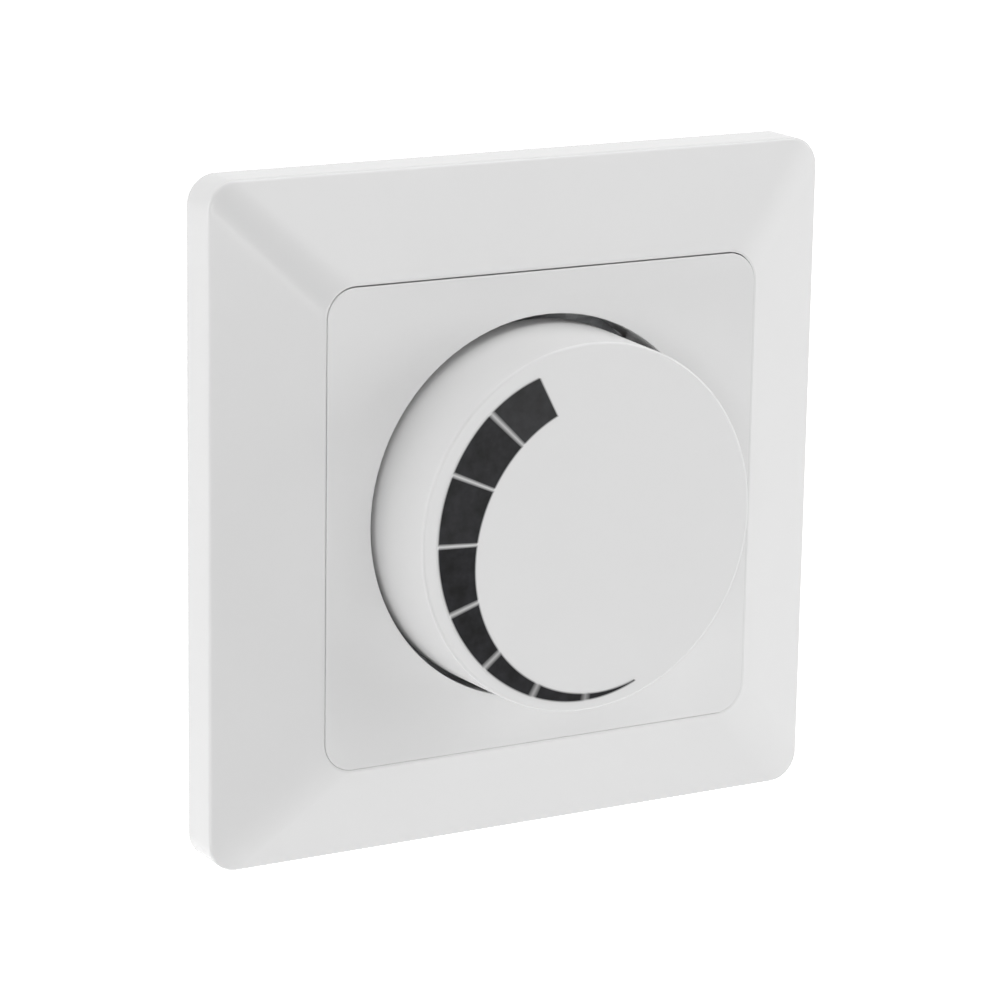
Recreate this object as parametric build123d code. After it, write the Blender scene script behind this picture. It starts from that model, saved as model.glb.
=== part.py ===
from build123d import *
import os
from math import cos, hypot, radians, sin

# Push-and-turn wall dimmer for a flush box, in millimetres.
# It is drawn face up: x to the right, y up the wall, z out of the wall, with z = 0 on the wall plane.
# The last lines turn it upright, so that the front looks along -Y and +Z is up.

# Cover frame
FRAME_SIDE = 80.0
FRAME_CORNER_R = 3.5
FRAME_EDGE_HEIGHT = 5.6
FRAME_CREST_HEIGHT = 11.0
FRAME_WALL = 2.0
FRAME_EDGE_R = 0.5
CREST_LAND = 0.3
CREST_EDGE_R = 0.15
WINDOW_SIDE = 56.7
WINDOW_CORNER_R = 3.6
LEDGE_WIDTH = 2.0
FRAME_RIB_T = 1.2
FRAME_RIB_PITCH = 22.0
FRAME_RIB_COUNT = 3
FRAME_RIB_SETBACK = 0.8
FRAME_RIB_GAP = 0.3

# Centre plate
PLATE_GAP = 0.1
PLATE_DROP = 0.05
PLATE_PROUD = 0.1
PLATE_T = 2.0
PLATE_EDGE_R = 0.2
HOLE_R = 22.65
HOLE_ASIDE = 0.15
HOLE_RISE = 0.28
COLLAR_T = 1.2
COLLAR_DEPTH = 7.0
SKIRT_GAP = 0.2
SKIRT_T = 1.3
SKIRT_DEPTH = 4.0
HOOK_WIDTH = 6.0
HOOK_SPREAD = 24.0
HOOK_NOSE = 0.6
HOOK_NOSE_LENGTH = 1.8
HOOK_GAP = 0.15

# Knob and its printed scale
KNOB_FRONT = 21.5
KNOB_FRONT_R = 21.5
KNOB_REAR_R = 21.8
KNOB_HEIGHT = 13.5
KNOB_WALL = 1.8
KNOB_FACE_T = 2.2
KNOB_EDGE_R = 0.5
KNOB_HUB_R = 5.5
KNOB_RIB_T = 1.2
KNOB_RIB_DEPTH = 5.0
KNOB_RIB_COUNT = 6
SCALE_R = 19.83
SCALE_ASIDE = 0.33
SCALE_DROP = 0.33
SCALE_START = 109.5
SCALE_FULL = 150.0
SCALE_MIDDLE = 195.0
SCALE_THIN = 245.0
SCALE_END = 288.5
SCALE_START_WIDTH = 5.15
SCALE_FULL_WIDTH = 5.55
SCALE_MIDDLE_WIDTH = 4.25
SCALE_THIN_WIDTH = 1.55
SCALE_END_WIDTH = 0.4
SCALE_DIVIDERS = (130.4, 154.0, 179.0, 203.5, 226.9, 248.3, 268.7)
SCALE_DIVIDER_WIDTH = 0.55
PRINT_T = 0.05

# Mounting plate
MOUNT_MARGIN = 3.0
MOUNT_CORNER_R = 6.0
MOUNT_T = 1.2
BOX_SCREW_SPACING = 60.0
BOX_SLOT_LENGTH = 7.0
BOX_SLOT_WIDTH = 4.0
MOUNT_HOLE_GAP = 0.2

# Shaft, bush and pot
SHAFT_R = 3.0
SHAFT_PLAY = 0.03
SHAFT_FLAT = 1.5
SHAFT_DRIVE_WIDTH = 4.6
SHAFT_STOP_R = 3.9
SHAFT_STOP_T = 0.8
SHAFT_TAIL = 0.5
PUSH_TRAVEL = 1.2
TURN_RANGE = 270.0
BUSH_R = 5.0
BUSH_LENGTH = 7.5
BUSH_FLANGE_T = 1.5
BUSH_CHAMFER = 0.4
WASHER_T = 0.6
WASHER_R = 8.0
WASHER_TEETH = 12
WASHER_NOTCH = 1.6
NUT_ACROSS_FLATS = 14.0
NUT_T = 2.0
THREAD_GAP = 0.05
POT_R = 8.5
POT_WALL = 1.2
POT_LENGTH = 6.5
POT_FLOOR = 1.2
TRACK_T = 0.8
TRACK_INNER_R = 4.6
TRACK_TAB_WIDTH = 8.4
TRACK_TAB_LENGTH = 1.9
TERMINAL_PITCH = 2.5
TERMINAL_WIDTH = 0.9
TERMINAL_T = 0.5
STOP_HEIGHT = 1.1
ROTOR_T = 2.2
ROTOR_HUB_R = 5.2
ROTOR_NECK_R = 4.0
ROTOR_LUG_ANGLE = 24.0
STOP_SLACK = 0.5
WIPER_T = 0.3
WIPER_WIDTH = 2.6
WIPER_SLIT = 0.6
WIPER_WALL_GAP = 0.7
MOVING_GAP = 0.3
CONTACT_GAP = 0.05

# Push switch behind the pot
SWITCH_SIDE = 15.0
SWITCH_LENGTH = 7.2
SWITCH_CORNER_R = 1.0
SWITCH_BASE_T = 1.2
GUIDE_LENGTH = 3.0
CHAMBER_WIDTH = 12.0
CHAMBER_HEIGHT = 11.0
PLUNGER_R = 3.6
PLUNGER_PLAY = 0.04
PLUNGER_FLANGE_R = 4.6
PLUNGER_FLANGE_T = 0.8
PLUNGER_BOSS_R = 1.3
PLUNGER_BOSS_LENGTH = 1.4
BRIDGE_LENGTH = 10.6
BRIDGE_WIDTH = 5.6
BRIDGE_T = 0.4
CONTACT_SPREAD = 8.6
CONTACT_WIDTH = 1.2
CONTACT_HEIGHT = 2.4
SPRING_R = 2.0
SPRING_WIRE_R = 0.18
SPRING_TURNS = 3.5

# Rear housing and circuit board
HOUSING_SIDE = 46.0
HOUSING_CHAMFER = 8.0
HOUSING_DEPTH = 27.0
HOUSING_WALL = 1.6
HOUSING_EDGE_R = 0.8
BOSS_INSET = 6.0
BOSS_R = 2.6
SCREW_R = 1.2
SCREW_LENGTH = 12.0
SCREW_HEAD_R = 2.4
SCREW_HEAD_T = 1.6
SCREW_HEAD_CHAMFER = 0.45
SCREW_SLOT_WIDTH = 0.7
SCREW_SLOT_DEPTH = 0.8
VENT_WIDTH = 1.6
VENT_LENGTH = 16.0
VENT_PITCH = 3.6
VENT_COUNT = 4
BOARD_T = 1.6
BOARD_GAP = 0.25
PIN_STICK_OUT = 0.6

# Triac on the mounting plate
TRIAC_WIDTH = 10.0
TRIAC_BODY_LENGTH = 9.2
TRIAC_BODY_T = 4.4
TRIAC_TAB_LENGTH = 6.0
TRIAC_TAB_T = 1.3
TRIAC_TOP = 14.0
TRIAC_HOLE_R = 1.7
TRIAC_LEAD_PITCH = 2.54
TRIAC_LEAD_T = 0.7
TRIAC_LEAD_REACH = 3.3
TRIAC_LEAD_SETBACK = 2.7
PAD_T = 0.3
PAD_MARGIN = 0.6
TRIAC_SCREW_R = 1.45
TRIAC_NUT_FLATS = 5.5
TRIAC_NUT_T = 2.0

# Choke, capacitors, resistors, diac and fuse
CHOKE_OUTER_R = 6.4
CHOKE_INNER_R = 3.2
CHOKE_HEIGHT = 5.5
CHOKE_WIRE = 0.8
CHOKE_TURNS = 16
CHOKE_GAP = 0.1
LEAD_T = 0.7
FILTER_CAP_LENGTH = 14.0
FILTER_CAP_WIDTH = 6.5
FILTER_CAP_HEIGHT = 11.5
FILTER_CAP_PITCH = 10.0
TIMING_CAP_LENGTH = 7.2
TIMING_CAP_WIDTH = 2.6
TIMING_CAP_HEIGHT = 6.8
TIMING_CAP_PITCH = 5.0
TIMING_CAP_Y = -11.2
CAP_EDGE_R = 0.6
RESISTOR_R = 1.2
RESISTOR_LENGTH = 6.4
RESISTOR_SPAN = 9.0
RESISTOR_Y = -8.0
RESISTOR_PITCH = 3.2
DIAC_R = 0.9
DIAC_LENGTH = 4.0
DIAC_SPAN = 6.6
DIAC_Y = 11.2
WIRE_R = 0.3
FUSE_R = 2.5
FUSE_LENGTH = 20.0
FUSE_CAP_LENGTH = 5.0
FUSE_CAP_T = 0.3
FUSE_GLASS_T = 0.6
FUSE_CLIP_T = 0.4
FUSE_CLIP_WIDTH = 3.4
FUSE_CLIP_RISE = 1.2
FUSE_TAIL_WIDTH = 1.7
FUSE_HEIGHT = 3.4
FUSE_Y = -15.5

# Terminal block
WAYS = 3
WAY_PITCH = 7.0
BLOCK_DEPTH = 9.0
BLOCK_WALL = 1.2
BLOCK_PROUD = 0.4
BLOCK_GAP = 0.3
WIRE_HOLE_R = 1.75
CLAMP_SIDE = 5.0
CLAMP_T = 0.7
CLAMP_GAP = 0.1
CLAMP_LENGTH = 4.6
CLAMP_ROOM = 0.9
TERMINAL_SCREW_R = 1.4
TERMINAL_SCREW_HEAD_R = 1.8
TERMINAL_SCREW_HEAD_T = 1.4
DRIVER_HOLE_R = 2.2

# Heights over the wall that follow from the sizes above
FRAME_SLOPE = (FRAME_CREST_HEIGHT - FRAME_EDGE_HEIGHT) / ((FRAME_SIDE - WINDOW_SIDE) / 2 - CREST_LAND)
SLOPE_WALL = FRAME_WALL * hypot(1, FRAME_SLOPE)
CAVITY_SIDE = FRAME_SIDE - 2 * FRAME_WALL
CAVITY_TOP_SIDE = WINDOW_SIDE + 2 * FRAME_WALL
MOUNT_SIDE = CAVITY_SIDE - 2 * MOUNT_MARGIN
CAVITY_EDGE_HEIGHT = FRAME_EDGE_HEIGHT - SLOPE_WALL + FRAME_SLOPE * FRAME_WALL
CAVITY_TOP = CAVITY_EDGE_HEIGHT + FRAME_SLOPE * (CAVITY_SIDE - CAVITY_TOP_SIDE) / 2
PLATE_FRONT = FRAME_CREST_HEIGHT + PLATE_PROUD
PLATE_BACK = PLATE_FRONT - PLATE_T
PLATE_SIDE = WINDOW_SIDE - 2 * PLATE_GAP
SKIRT_SIDE = WINDOW_SIDE - 2 * LEDGE_WIDTH - 2 * SKIRT_GAP
KNOB_BACK = KNOB_FRONT - KNOB_HEIGHT
KNOB_INSIDE = KNOB_FRONT - KNOB_FACE_T
HUB_BACK = BUSH_LENGTH + PUSH_TRAVEL + MOVING_GAP
SHAFT_END = KNOB_INSIDE - MOVING_GAP
FLANGE_BACK = -BUSH_FLANGE_T
POT_BACK = FLANGE_BACK - POT_LENGTH
TRACK_BACK = POT_BACK + POT_FLOOR
TRACK_FRONT = TRACK_BACK + TRACK_T
WIPER_BACK = TRACK_FRONT + CONTACT_GAP
ROTOR_BACK = WIPER_BACK + WIPER_T
ROTOR_FRONT = ROTOR_BACK + ROTOR_T
STOP_BACK = FLANGE_BACK - CONTACT_GAP - SHAFT_STOP_T
STOP_ROOM = STOP_BACK - PUSH_TRAVEL - MOVING_GAP
SHAFT_TIP = POT_BACK - SHAFT_TAIL
SWITCH_BACK = POT_BACK - SWITCH_LENGTH
GUIDE_BACK = POT_BACK - GUIDE_LENGTH
PLUNGER_FRONT = SHAFT_TIP - CONTACT_GAP
PLUNGER_FLANGE_FRONT = GUIDE_BACK - MOVING_GAP
PLUNGER_BACK = PLUNGER_FLANGE_FRONT - PLUNGER_FLANGE_T
BRIDGE_BACK = PLUNGER_BACK - BRIDGE_T
CONTACT_TOP = BRIDGE_BACK - PUSH_TRAVEL - CONTACT_GAP
BOARD_FRONT = SWITCH_BACK - SWITCH_BASE_T
BOARD_BACK = BOARD_FRONT - BOARD_T
PIN_END = BOARD_BACK - PIN_STICK_OUT
BLOCK_BACK = -HOUSING_DEPTH - BLOCK_PROUD

# Places across the wall that follow from the sizes above
POT_INNER_R = POT_R - POT_WALL
ROTOR_R = POT_INNER_R - STOP_HEIGHT - MOVING_GAP
WIPER_R = POT_INNER_R - WIPER_WALL_GAP
TRACK_TAB_REACH = POT_R + TRACK_TAB_LENGTH
TRACK_TAB_Y = -(POT_R + TRACK_TAB_REACH) / 2
HOUSING_INNER = HOUSING_SIDE / 2 - HOUSING_WALL
BOSS_AT = HOUSING_SIDE / 2 - BOSS_INSET
SIDE_BAY = (POT_R + HOUSING_INNER) / 2
BLOCK_WIDTH = WAYS * WAY_PITCH
BLOCK_BOTTOM = -HOUSING_INNER + BLOCK_GAP
BLOCK_Y = BLOCK_BOTTOM + BLOCK_DEPTH / 2
CLAMP_TAIL_Y = BLOCK_Y - (CLAMP_SIDE - CLAMP_T) / 2
BLOCK_RELIEF = PIN_END - BLOCK_GAP
CLAMP_FRONT = BLOCK_RELIEF - CLAMP_ROOM
CLAMP_BACK = CLAMP_FRONT - CLAMP_LENGTH
CLAMP_Z = CLAMP_FRONT - CLAMP_LENGTH / 2
TRIAC_HOLE_Y = TRIAC_TOP - TRIAC_TAB_LENGTH / 2
TRIAC_LEAD_Y = TRIAC_TOP - TRIAC_TAB_LENGTH - TRIAC_BODY_LENGTH - TRIAC_LEAD_REACH
SMALL_PART_X = SIDE_BAY - BOSS_R / 2
CHOKE_Z = BOARD_FRONT + CHOKE_OUTER_R + CHOKE_GAP + CHOKE_WIRE
CHOKE_WIRE_R = CHOKE_OUTER_R + CHOKE_GAP + CHOKE_WIRE / 2
CHOKE_TURN_ANGLE = 360 / CHOKE_TURNS
CHOKE_LEAD_ANGLE = CHOKE_TURN_ANGLE + CHOKE_TURN_ANGLE / 2
FUSE_Z = BOARD_FRONT + FUSE_HEIGHT

CORNERS = [(a, b) for a in (-1, 1) for b in (-1, 1)]
PLATE_CORNER_R = WINDOW_CORNER_R - PLATE_GAP


def square(side, corner_r):
    """Rounded square outline about the axis."""
    return RectangleRounded(side, side, corner_r)


def slab(outline, low, high):
    """Outline raised from one height to another."""
    return extrude(Pos(0, 0, low) * outline, high - low)


def rod(radius, low, high, x=0, y=0):
    """Round bar along z between two heights."""
    return slab(Pos(x, y) * Circle(radius), low, high)


def bar(x, y, low, high, width, height):
    """Straight bar of width by height in plan, centred at x, y, between two heights."""
    return slab(Pos(x, y) * Rectangle(width, height), low, high)


def double_flat(radius, width):
    """Round outline with two parallel flats."""
    return Circle(radius) & Rectangle(2 * radius, width)


def sector(radius, start, end):
    """Pie slice about the axis, from one angle to another, under half a turn."""
    reach = 2 * radius
    middle = (start + end) / 2
    wedge = Polyline(
        (0, 0),
        (reach * cos(radians(start)), reach * sin(radians(start))),
        (2 * reach * cos(radians(middle)), 2 * reach * sin(radians(middle))),
        (reach * cos(radians(end)), reach * sin(radians(end))),
        close=True,
    )
    return Circle(radius) & make_face(wedge)


def edges_at(shape, height):
    """Edges that lie wholly at one height."""
    return shape.edges().filter_by_position(Axis.Z, height, height)


def make_cover_frame():
    """Hollow moulding: upright sides, faces that slope up to the window, ledge under the centre plate."""
    crest_side = WINDOW_SIDE + 2 * CREST_LAND
    foot = slab(square(FRAME_SIDE, FRAME_CORNER_R), 0, FRAME_EDGE_HEIGHT)
    slopes = loft(
        [
            Pos(0, 0, FRAME_EDGE_HEIGHT) * square(FRAME_SIDE, FRAME_CORNER_R),
            Pos(0, 0, FRAME_CREST_HEIGHT) * square(crest_side, WINDOW_CORNER_R + CREST_LAND),
        ],
        ruled=True,
    )
    body = foot + slopes
    body = fillet(edges_at(body, FRAME_EDGE_HEIGHT), FRAME_EDGE_R)
    cavity = slab(square(CAVITY_SIDE, FRAME_CORNER_R - FRAME_WALL), 0, CAVITY_EDGE_HEIGHT)
    cavity += loft(
        [
            Pos(0, 0, CAVITY_EDGE_HEIGHT) * square(CAVITY_SIDE, FRAME_CORNER_R - FRAME_WALL),
            Pos(0, 0, CAVITY_TOP) * square(CAVITY_TOP_SIDE, WINDOW_CORNER_R + FRAME_WALL),
        ],
        ruled=True,
    )
    rib_inside = MOUNT_SIDE / 2 + FRAME_RIB_GAP
    rib_width = FRAME_SIDE / 2 - rib_inside
    ribs = []
    for quarter in range(4):
        for index in range(FRAME_RIB_COUNT):
            along = (index - (FRAME_RIB_COUNT - 1) / 2) * FRAME_RIB_PITCH
            rib_outline = Pos(rib_inside + rib_width / 2, along) * Rectangle(rib_width, FRAME_RIB_T)
            rib = slab(rib_outline, FRAME_RIB_SETBACK, CAVITY_TOP)
            ribs.append(Rot(0, 0, 90 * quarter) * rib & body)
    window = slab(square(WINDOW_SIDE, WINDOW_CORNER_R), PLATE_BACK, FRAME_CREST_HEIGHT)
    opening_side = WINDOW_SIDE - 2 * LEDGE_WIDTH
    opening = slab(square(opening_side, WINDOW_CORNER_R), 0, FRAME_CREST_HEIGHT)
    frame = body - cavity + ribs - window - opening
    return fillet(edges_at(frame, FRAME_CREST_HEIGHT), CREST_EDGE_R)


def make_centre_plate():
    """Square plate with a round hole, a collar behind the hole, a skirt and four snap hooks.

    It sits a little low in the frame's window, as far as its gap allows.
    """
    plate = slab(square(PLATE_SIDE, PLATE_CORNER_R), PLATE_BACK, PLATE_FRONT)
    collar_back = PLATE_FRONT - COLLAR_DEPTH
    collar = rod(HOLE_R + COLLAR_T, collar_back, PLATE_BACK, HOLE_ASIDE, HOLE_RISE)
    hole = rod(HOLE_R, collar_back, PLATE_FRONT, HOLE_ASIDE, HOLE_RISE)
    skirt_outline = square(SKIRT_SIDE, WINDOW_CORNER_R) - square(SKIRT_SIDE - 2 * SKIRT_T, WINDOW_CORNER_R)
    skirt = slab(skirt_outline, PLATE_FRONT - SKIRT_DEPTH, PLATE_BACK)
    plate = plate + collar + skirt - hole
    plate = fillet(edges_at(plate, PLATE_FRONT), PLATE_EDGE_R)
    outer = SKIRT_SIDE / 2
    catch = -HOOK_GAP
    hook_profile = Polyline(
        (outer - SKIRT_T, PLATE_BACK),
        (outer, PLATE_BACK),
        (outer, catch),
        (outer + HOOK_NOSE, catch),
        (outer - SKIRT_T / 2, catch - HOOK_NOSE_LENGTH),
        (outer - SKIRT_T, catch - HOOK_NOSE_LENGTH),
        close=True,
    )
    hook = extrude(Plane.YZ * make_face(hook_profile), HOOK_WIDTH / 2, both=True)
    for turn in (0, 180):
        for side in (-1, 1):
            plate += Rot(0, 0, turn) * Pos(side * HOOK_SPREAD / 2) * hook
    return Pos(0, -PLATE_DROP) * plate


def make_knob():
    """Hollow knob with drafted side, hub with a flatted bore and radial ribs behind the face."""
    side_profile = Polyline(
        (0, KNOB_BACK), (KNOB_REAR_R, KNOB_BACK), (KNOB_FRONT_R, KNOB_FRONT), (0, KNOB_FRONT), close=True
    )
    body = revolve(Plane.XZ * make_face(side_profile), Axis.Z)
    body = fillet(edges_at(body, KNOB_FRONT), KNOB_EDGE_R)
    hollow_profile = Polyline(
        (0, KNOB_BACK),
        (KNOB_REAR_R - KNOB_WALL, KNOB_BACK),
        (KNOB_FRONT_R - KNOB_WALL, KNOB_INSIDE),
        (0, KNOB_INSIDE),
        close=True,
    )
    hollow = revolve(Plane.XZ * make_face(hollow_profile), Axis.Z)
    hub = rod(KNOB_HUB_R, HUB_BACK, KNOB_INSIDE)
    rib = bar(0, KNOB_REAR_R / 2, KNOB_INSIDE - KNOB_RIB_DEPTH, KNOB_INSIDE, KNOB_RIB_T, KNOB_REAR_R)
    ribs = [Rot(0, 0, 360 * index / KNOB_RIB_COUNT) * rib & hollow for index in range(KNOB_RIB_COUNT)]
    bore_r = SHAFT_R + SHAFT_PLAY
    flat = Pos(0, 2 * SHAFT_R - SHAFT_FLAT + SHAFT_PLAY) * Rectangle(2 * bore_r, 2 * SHAFT_R)
    bore_outline = Circle(bore_r) - flat
    return body - hollow + hub + ribs - slab(bore_outline, HUB_BACK, KNOB_INSIDE)


def make_level_scale():
    """Printed bar that swells along an arc on the knob's face, cut into segments by radial gaps."""
    widths = {
        SCALE_START: SCALE_START_WIDTH,
        SCALE_FULL: SCALE_FULL_WIDTH,
        SCALE_MIDDLE: SCALE_MIDDLE_WIDTH,
        SCALE_THIN: SCALE_THIN_WIDTH,
        SCALE_END: SCALE_END_WIDTH,
    }
    inner_edge = Spline([Vector(SCALE_R - width, 0).rotate(Axis.Z, a) for a, width in widths.items()])
    centre = (0, 0)
    start_side = Line(inner_edge @ 0, centre)
    end_side = Line(centre, inner_edge @ 1)
    inside = make_face([inner_edge, end_side, start_side])
    middle = (SCALE_START + SCALE_END) / 2
    whole = sector(SCALE_R, SCALE_START, middle) + sector(SCALE_R, middle, SCALE_END) - inside
    for angle in SCALE_DIVIDERS:
        whole -= Rot(0, 0, angle) * Pos(SCALE_R / 2) * Rectangle(SCALE_R, SCALE_DIVIDER_WIDTH)
    return Pos(SCALE_ASIDE, -SCALE_DROP) * slab(whole, KNOB_FRONT, KNOB_FRONT + PRINT_T)


def screw_places():
    """Plan positions of the four housing screws."""
    return [(a * BOSS_AT, b * BOSS_AT) for a, b in CORNERS]


def make_mounting_plate():
    """Steel plate with slots for the box screws, windows for the hooks and holes for the fixings."""
    outline = square(MOUNT_SIDE, MOUNT_CORNER_R) - Circle(BUSH_R + MOUNT_HOLE_GAP)
    for side in (-1, 1):
        outline -= Pos(side * BOX_SCREW_SPACING / 2) * SlotOverall(BOX_SLOT_LENGTH, BOX_SLOT_WIDTH)
    for x, y in screw_places():
        outline -= Pos(x, y) * Circle(SCREW_R + MOUNT_HOLE_GAP)
    outline -= Pos(-SIDE_BAY, TRIAC_HOLE_Y) * Circle(TRIAC_SCREW_R + MOUNT_HOLE_GAP)
    hook_height = SKIRT_T + 2 * MOUNT_HOLE_GAP
    hook_y = (SKIRT_SIDE - SKIRT_T) / 2
    for a, b in CORNERS:
        window = Rectangle(HOOK_WIDTH + 2 * MOUNT_HOLE_GAP, hook_height)
        outline -= Pos(a * HOOK_SPREAD / 2, b * hook_y) * window
    return slab(outline, 0, MOUNT_T)


def make_control_shaft():
    """Shaft: flat for the knob, stop ring behind the bush, two flats that slide in the rotor."""
    front = Circle(SHAFT_R) - Pos(0, 2 * SHAFT_R - SHAFT_FLAT) * Rectangle(2 * SHAFT_R, 2 * SHAFT_R)
    shaft = slab(front, HUB_BACK, SHAFT_END)
    shaft += rod(SHAFT_R, STOP_BACK, HUB_BACK)
    shaft += rod(SHAFT_STOP_R, STOP_BACK, STOP_BACK + SHAFT_STOP_T)
    return shaft + slab(double_flat(SHAFT_R, SHAFT_DRIVE_WIDTH), SHAFT_TIP, STOP_BACK)


def make_control_bush():
    """Threaded bush with a flange that closes the pot."""
    bush = rod(BUSH_R, 0, BUSH_LENGTH) + rod(POT_R, FLANGE_BACK, 0)
    bush = chamfer(edges_at(bush, BUSH_LENGTH), BUSH_CHAMFER)
    return bush - rod(SHAFT_R + SHAFT_PLAY, FLANGE_BACK, BUSH_LENGTH)


def make_bush_washer():
    """Toothed lock washer."""
    outline = Circle(WASHER_R) - Circle(BUSH_R + THREAD_GAP)
    for index in range(WASHER_TEETH):
        notch = Pos(WASHER_R) * Rectangle(WASHER_NOTCH, WASHER_NOTCH)
        outline -= Rot(0, 0, 360 * index / WASHER_TEETH) * notch
    return slab(outline, MOUNT_T, MOUNT_T + WASHER_T)


def hex_nut(across_flats, hole_r, low, high):
    """Plain hexagon nut between two heights."""
    outline = RegularPolygon(across_flats / 2, 6, major_radius=False) - Circle(hole_r)
    return slab(outline, low, high)


def make_bush_nut():
    """Thin nut that clamps the mounting plate."""
    low = MOUNT_T + WASHER_T
    return hex_nut(NUT_ACROSS_FLATS, BUSH_R + THREAD_GAP, low, low + NUT_T)


def make_pot_housing():
    """Cup for the rotor, with an end stop inside and a slot for the track wafer's tab."""
    cup = rod(POT_R, POT_BACK, FLANGE_BACK) - rod(POT_INNER_R, TRACK_BACK, FLANGE_BACK)
    half_stop = (360 - TURN_RANGE - ROTOR_LUG_ANGLE) / 2 - STOP_SLACK
    stop = sector(POT_R, -90 - half_stop, -90 + half_stop) - Circle(ROTOR_R + MOVING_GAP)
    cup += slab(stop, TRACK_FRONT, FLANGE_BACK)
    cup -= rod(ROTOR_NECK_R + SHAFT_PLAY, POT_BACK, TRACK_BACK)
    slot_width = TRACK_TAB_WIDTH + 2 * CONTACT_GAP
    return cup - bar(0, -POT_R, TRACK_BACK, TRACK_FRONT, slot_width, 2 * POT_R)


def terminal_places():
    """Sideways positions of the three track terminals."""
    return [index * TERMINAL_PITCH for index in (-1, 0, 1)]


def make_track_wafer():
    """Ring-shaped wafer that carries the resistive track, with a tab for the terminals."""
    outline = Circle(POT_INNER_R - CONTACT_GAP)
    outline += Pos(0, -TRACK_TAB_REACH / 2) * Rectangle(TRACK_TAB_WIDTH, TRACK_TAB_REACH)
    outline -= Circle(TRACK_INNER_R)
    for x in terminal_places():
        outline -= Pos(x, TRACK_TAB_Y) * Rectangle(TERMINAL_WIDTH, TERMINAL_T)
    return slab(outline, TRACK_BACK, TRACK_FRONT)


def make_track_terminals():
    """Three flat pins from the wafer's tab down through the circuit board."""
    top = TRACK_FRONT + TERMINAL_T
    return [bar(x, TRACK_TAB_Y, PIN_END, top, TERMINAL_WIDTH, TERMINAL_T) for x in terminal_places()]


def make_wiper_rotor():
    """Rotor with a stop lug, a journal in the pot's floor and a flatted bore that the shaft slides in."""
    rotor = rod(ROTOR_R, ROTOR_BACK, ROTOR_FRONT)
    rotor += rod(ROTOR_HUB_R, ROTOR_FRONT, FLANGE_BACK - MOVING_GAP)
    rotor += rod(ROTOR_NECK_R, POT_BACK, ROTOR_BACK)
    lug_r = POT_INNER_R - MOVING_GAP
    lug = sector(lug_r, 90 - ROTOR_LUG_ANGLE / 2, 90 + ROTOR_LUG_ANGLE / 2)
    rotor += slab(lug, ROTOR_BACK, ROTOR_FRONT)
    rotor -= rod(SHAFT_STOP_R + MOVING_GAP, STOP_ROOM, FLANGE_BACK)
    drive = double_flat(SHAFT_R + SHAFT_PLAY, SHAFT_DRIVE_WIDTH + 2 * CONTACT_GAP)
    return rotor - slab(drive, POT_BACK, FLANGE_BACK)


def make_wiper():
    """Split spring contact under the rotor that runs on the track."""
    outline = Pos(0, WIPER_R / 2) * Rectangle(WIPER_WIDTH, WIPER_R)
    outline -= Circle(ROTOR_NECK_R + CONTACT_GAP)
    outline -= Pos(0, WIPER_R) * Rectangle(WIPER_SLIT, WIPER_R / 2)
    return slab(outline, WIPER_BACK, ROTOR_BACK)


def make_switch_body():
    """Moulded body: round guide for the plunger in front, contact chamber behind."""
    body = slab(square(SWITCH_SIDE, SWITCH_CORNER_R), SWITCH_BACK, POT_BACK)
    body -= rod(PLUNGER_R + PLUNGER_PLAY, GUIDE_BACK, POT_BACK)
    return body - bar(0, 0, SWITCH_BACK, GUIDE_BACK, CHAMBER_WIDTH, CHAMBER_HEIGHT)


def contact_places():
    """Sideways positions of the two fixed contacts."""
    return [-CONTACT_SPREAD / 2, CONTACT_SPREAD / 2]


def make_switch_base():
    """Base that closes the chamber and carries the fixed contacts."""
    base = slab(square(SWITCH_SIDE, SWITCH_CORNER_R), BOARD_FRONT, SWITCH_BACK)
    for x in contact_places():
        base -= bar(x, 0, BOARD_FRONT, SWITCH_BACK, TERMINAL_T, CONTACT_HEIGHT)
    return base


def make_fixed_contacts():
    """Two contacts with wide heads in the chamber and tails through the board."""
    contacts = []
    for x in contact_places():
        head = bar(x, 0, SWITCH_BACK, CONTACT_TOP, CONTACT_WIDTH, CONTACT_HEIGHT)
        contacts.append(head + bar(x, 0, PIN_END, SWITCH_BACK, TERMINAL_T, CONTACT_HEIGHT))
    return contacts


def make_switch_plunger():
    """Plunger with a guide barrel, a stop flange and a boss inside the spring."""
    plunger = rod(PLUNGER_R, PLUNGER_BACK, PLUNGER_FRONT)
    plunger += rod(PLUNGER_FLANGE_R, PLUNGER_BACK, PLUNGER_FLANGE_FRONT)
    return plunger + rod(PLUNGER_BOSS_R, PLUNGER_BACK - PLUNGER_BOSS_LENGTH, PLUNGER_BACK)


def make_moving_contact():
    """Flat bridge on the plunger that joins the two fixed contacts when pushed."""
    outline = Rectangle(BRIDGE_LENGTH, BRIDGE_WIDTH) - Circle(PLUNGER_BOSS_R + CONTACT_GAP)
    return slab(outline, BRIDGE_BACK, PLUNGER_BACK)


def make_return_spring():
    """Helical spring between the bridge and the switch base."""
    low = SWITCH_BACK + SPRING_WIRE_R + CONTACT_GAP
    high = BRIDGE_BACK - SPRING_WIRE_R - CONTACT_GAP
    path = Helix(pitch=(high - low) / SPRING_TURNS, height=high - low, radius=SPRING_R, center=(0, 0, low))
    section = Plane(path @ 0, z_dir=path % 0) * RegularPolygon(SPRING_WIRE_R, 6)
    return sweep(section, path, is_frenet=True)


def housing_outline(margin=0):
    """Square with cut corners, set in by a margin."""
    half = HOUSING_SIDE / 2 - margin
    cut = half - HOUSING_CHAMFER + margin * (2 - 2**0.5)
    return make_face(
        Polyline(
            (half, cut), (cut, half), (-cut, half), (-half, cut),
            (-half, -cut), (-cut, -half), (cut, -half), (half, -cut),
            close=True,
        )
    )


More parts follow.
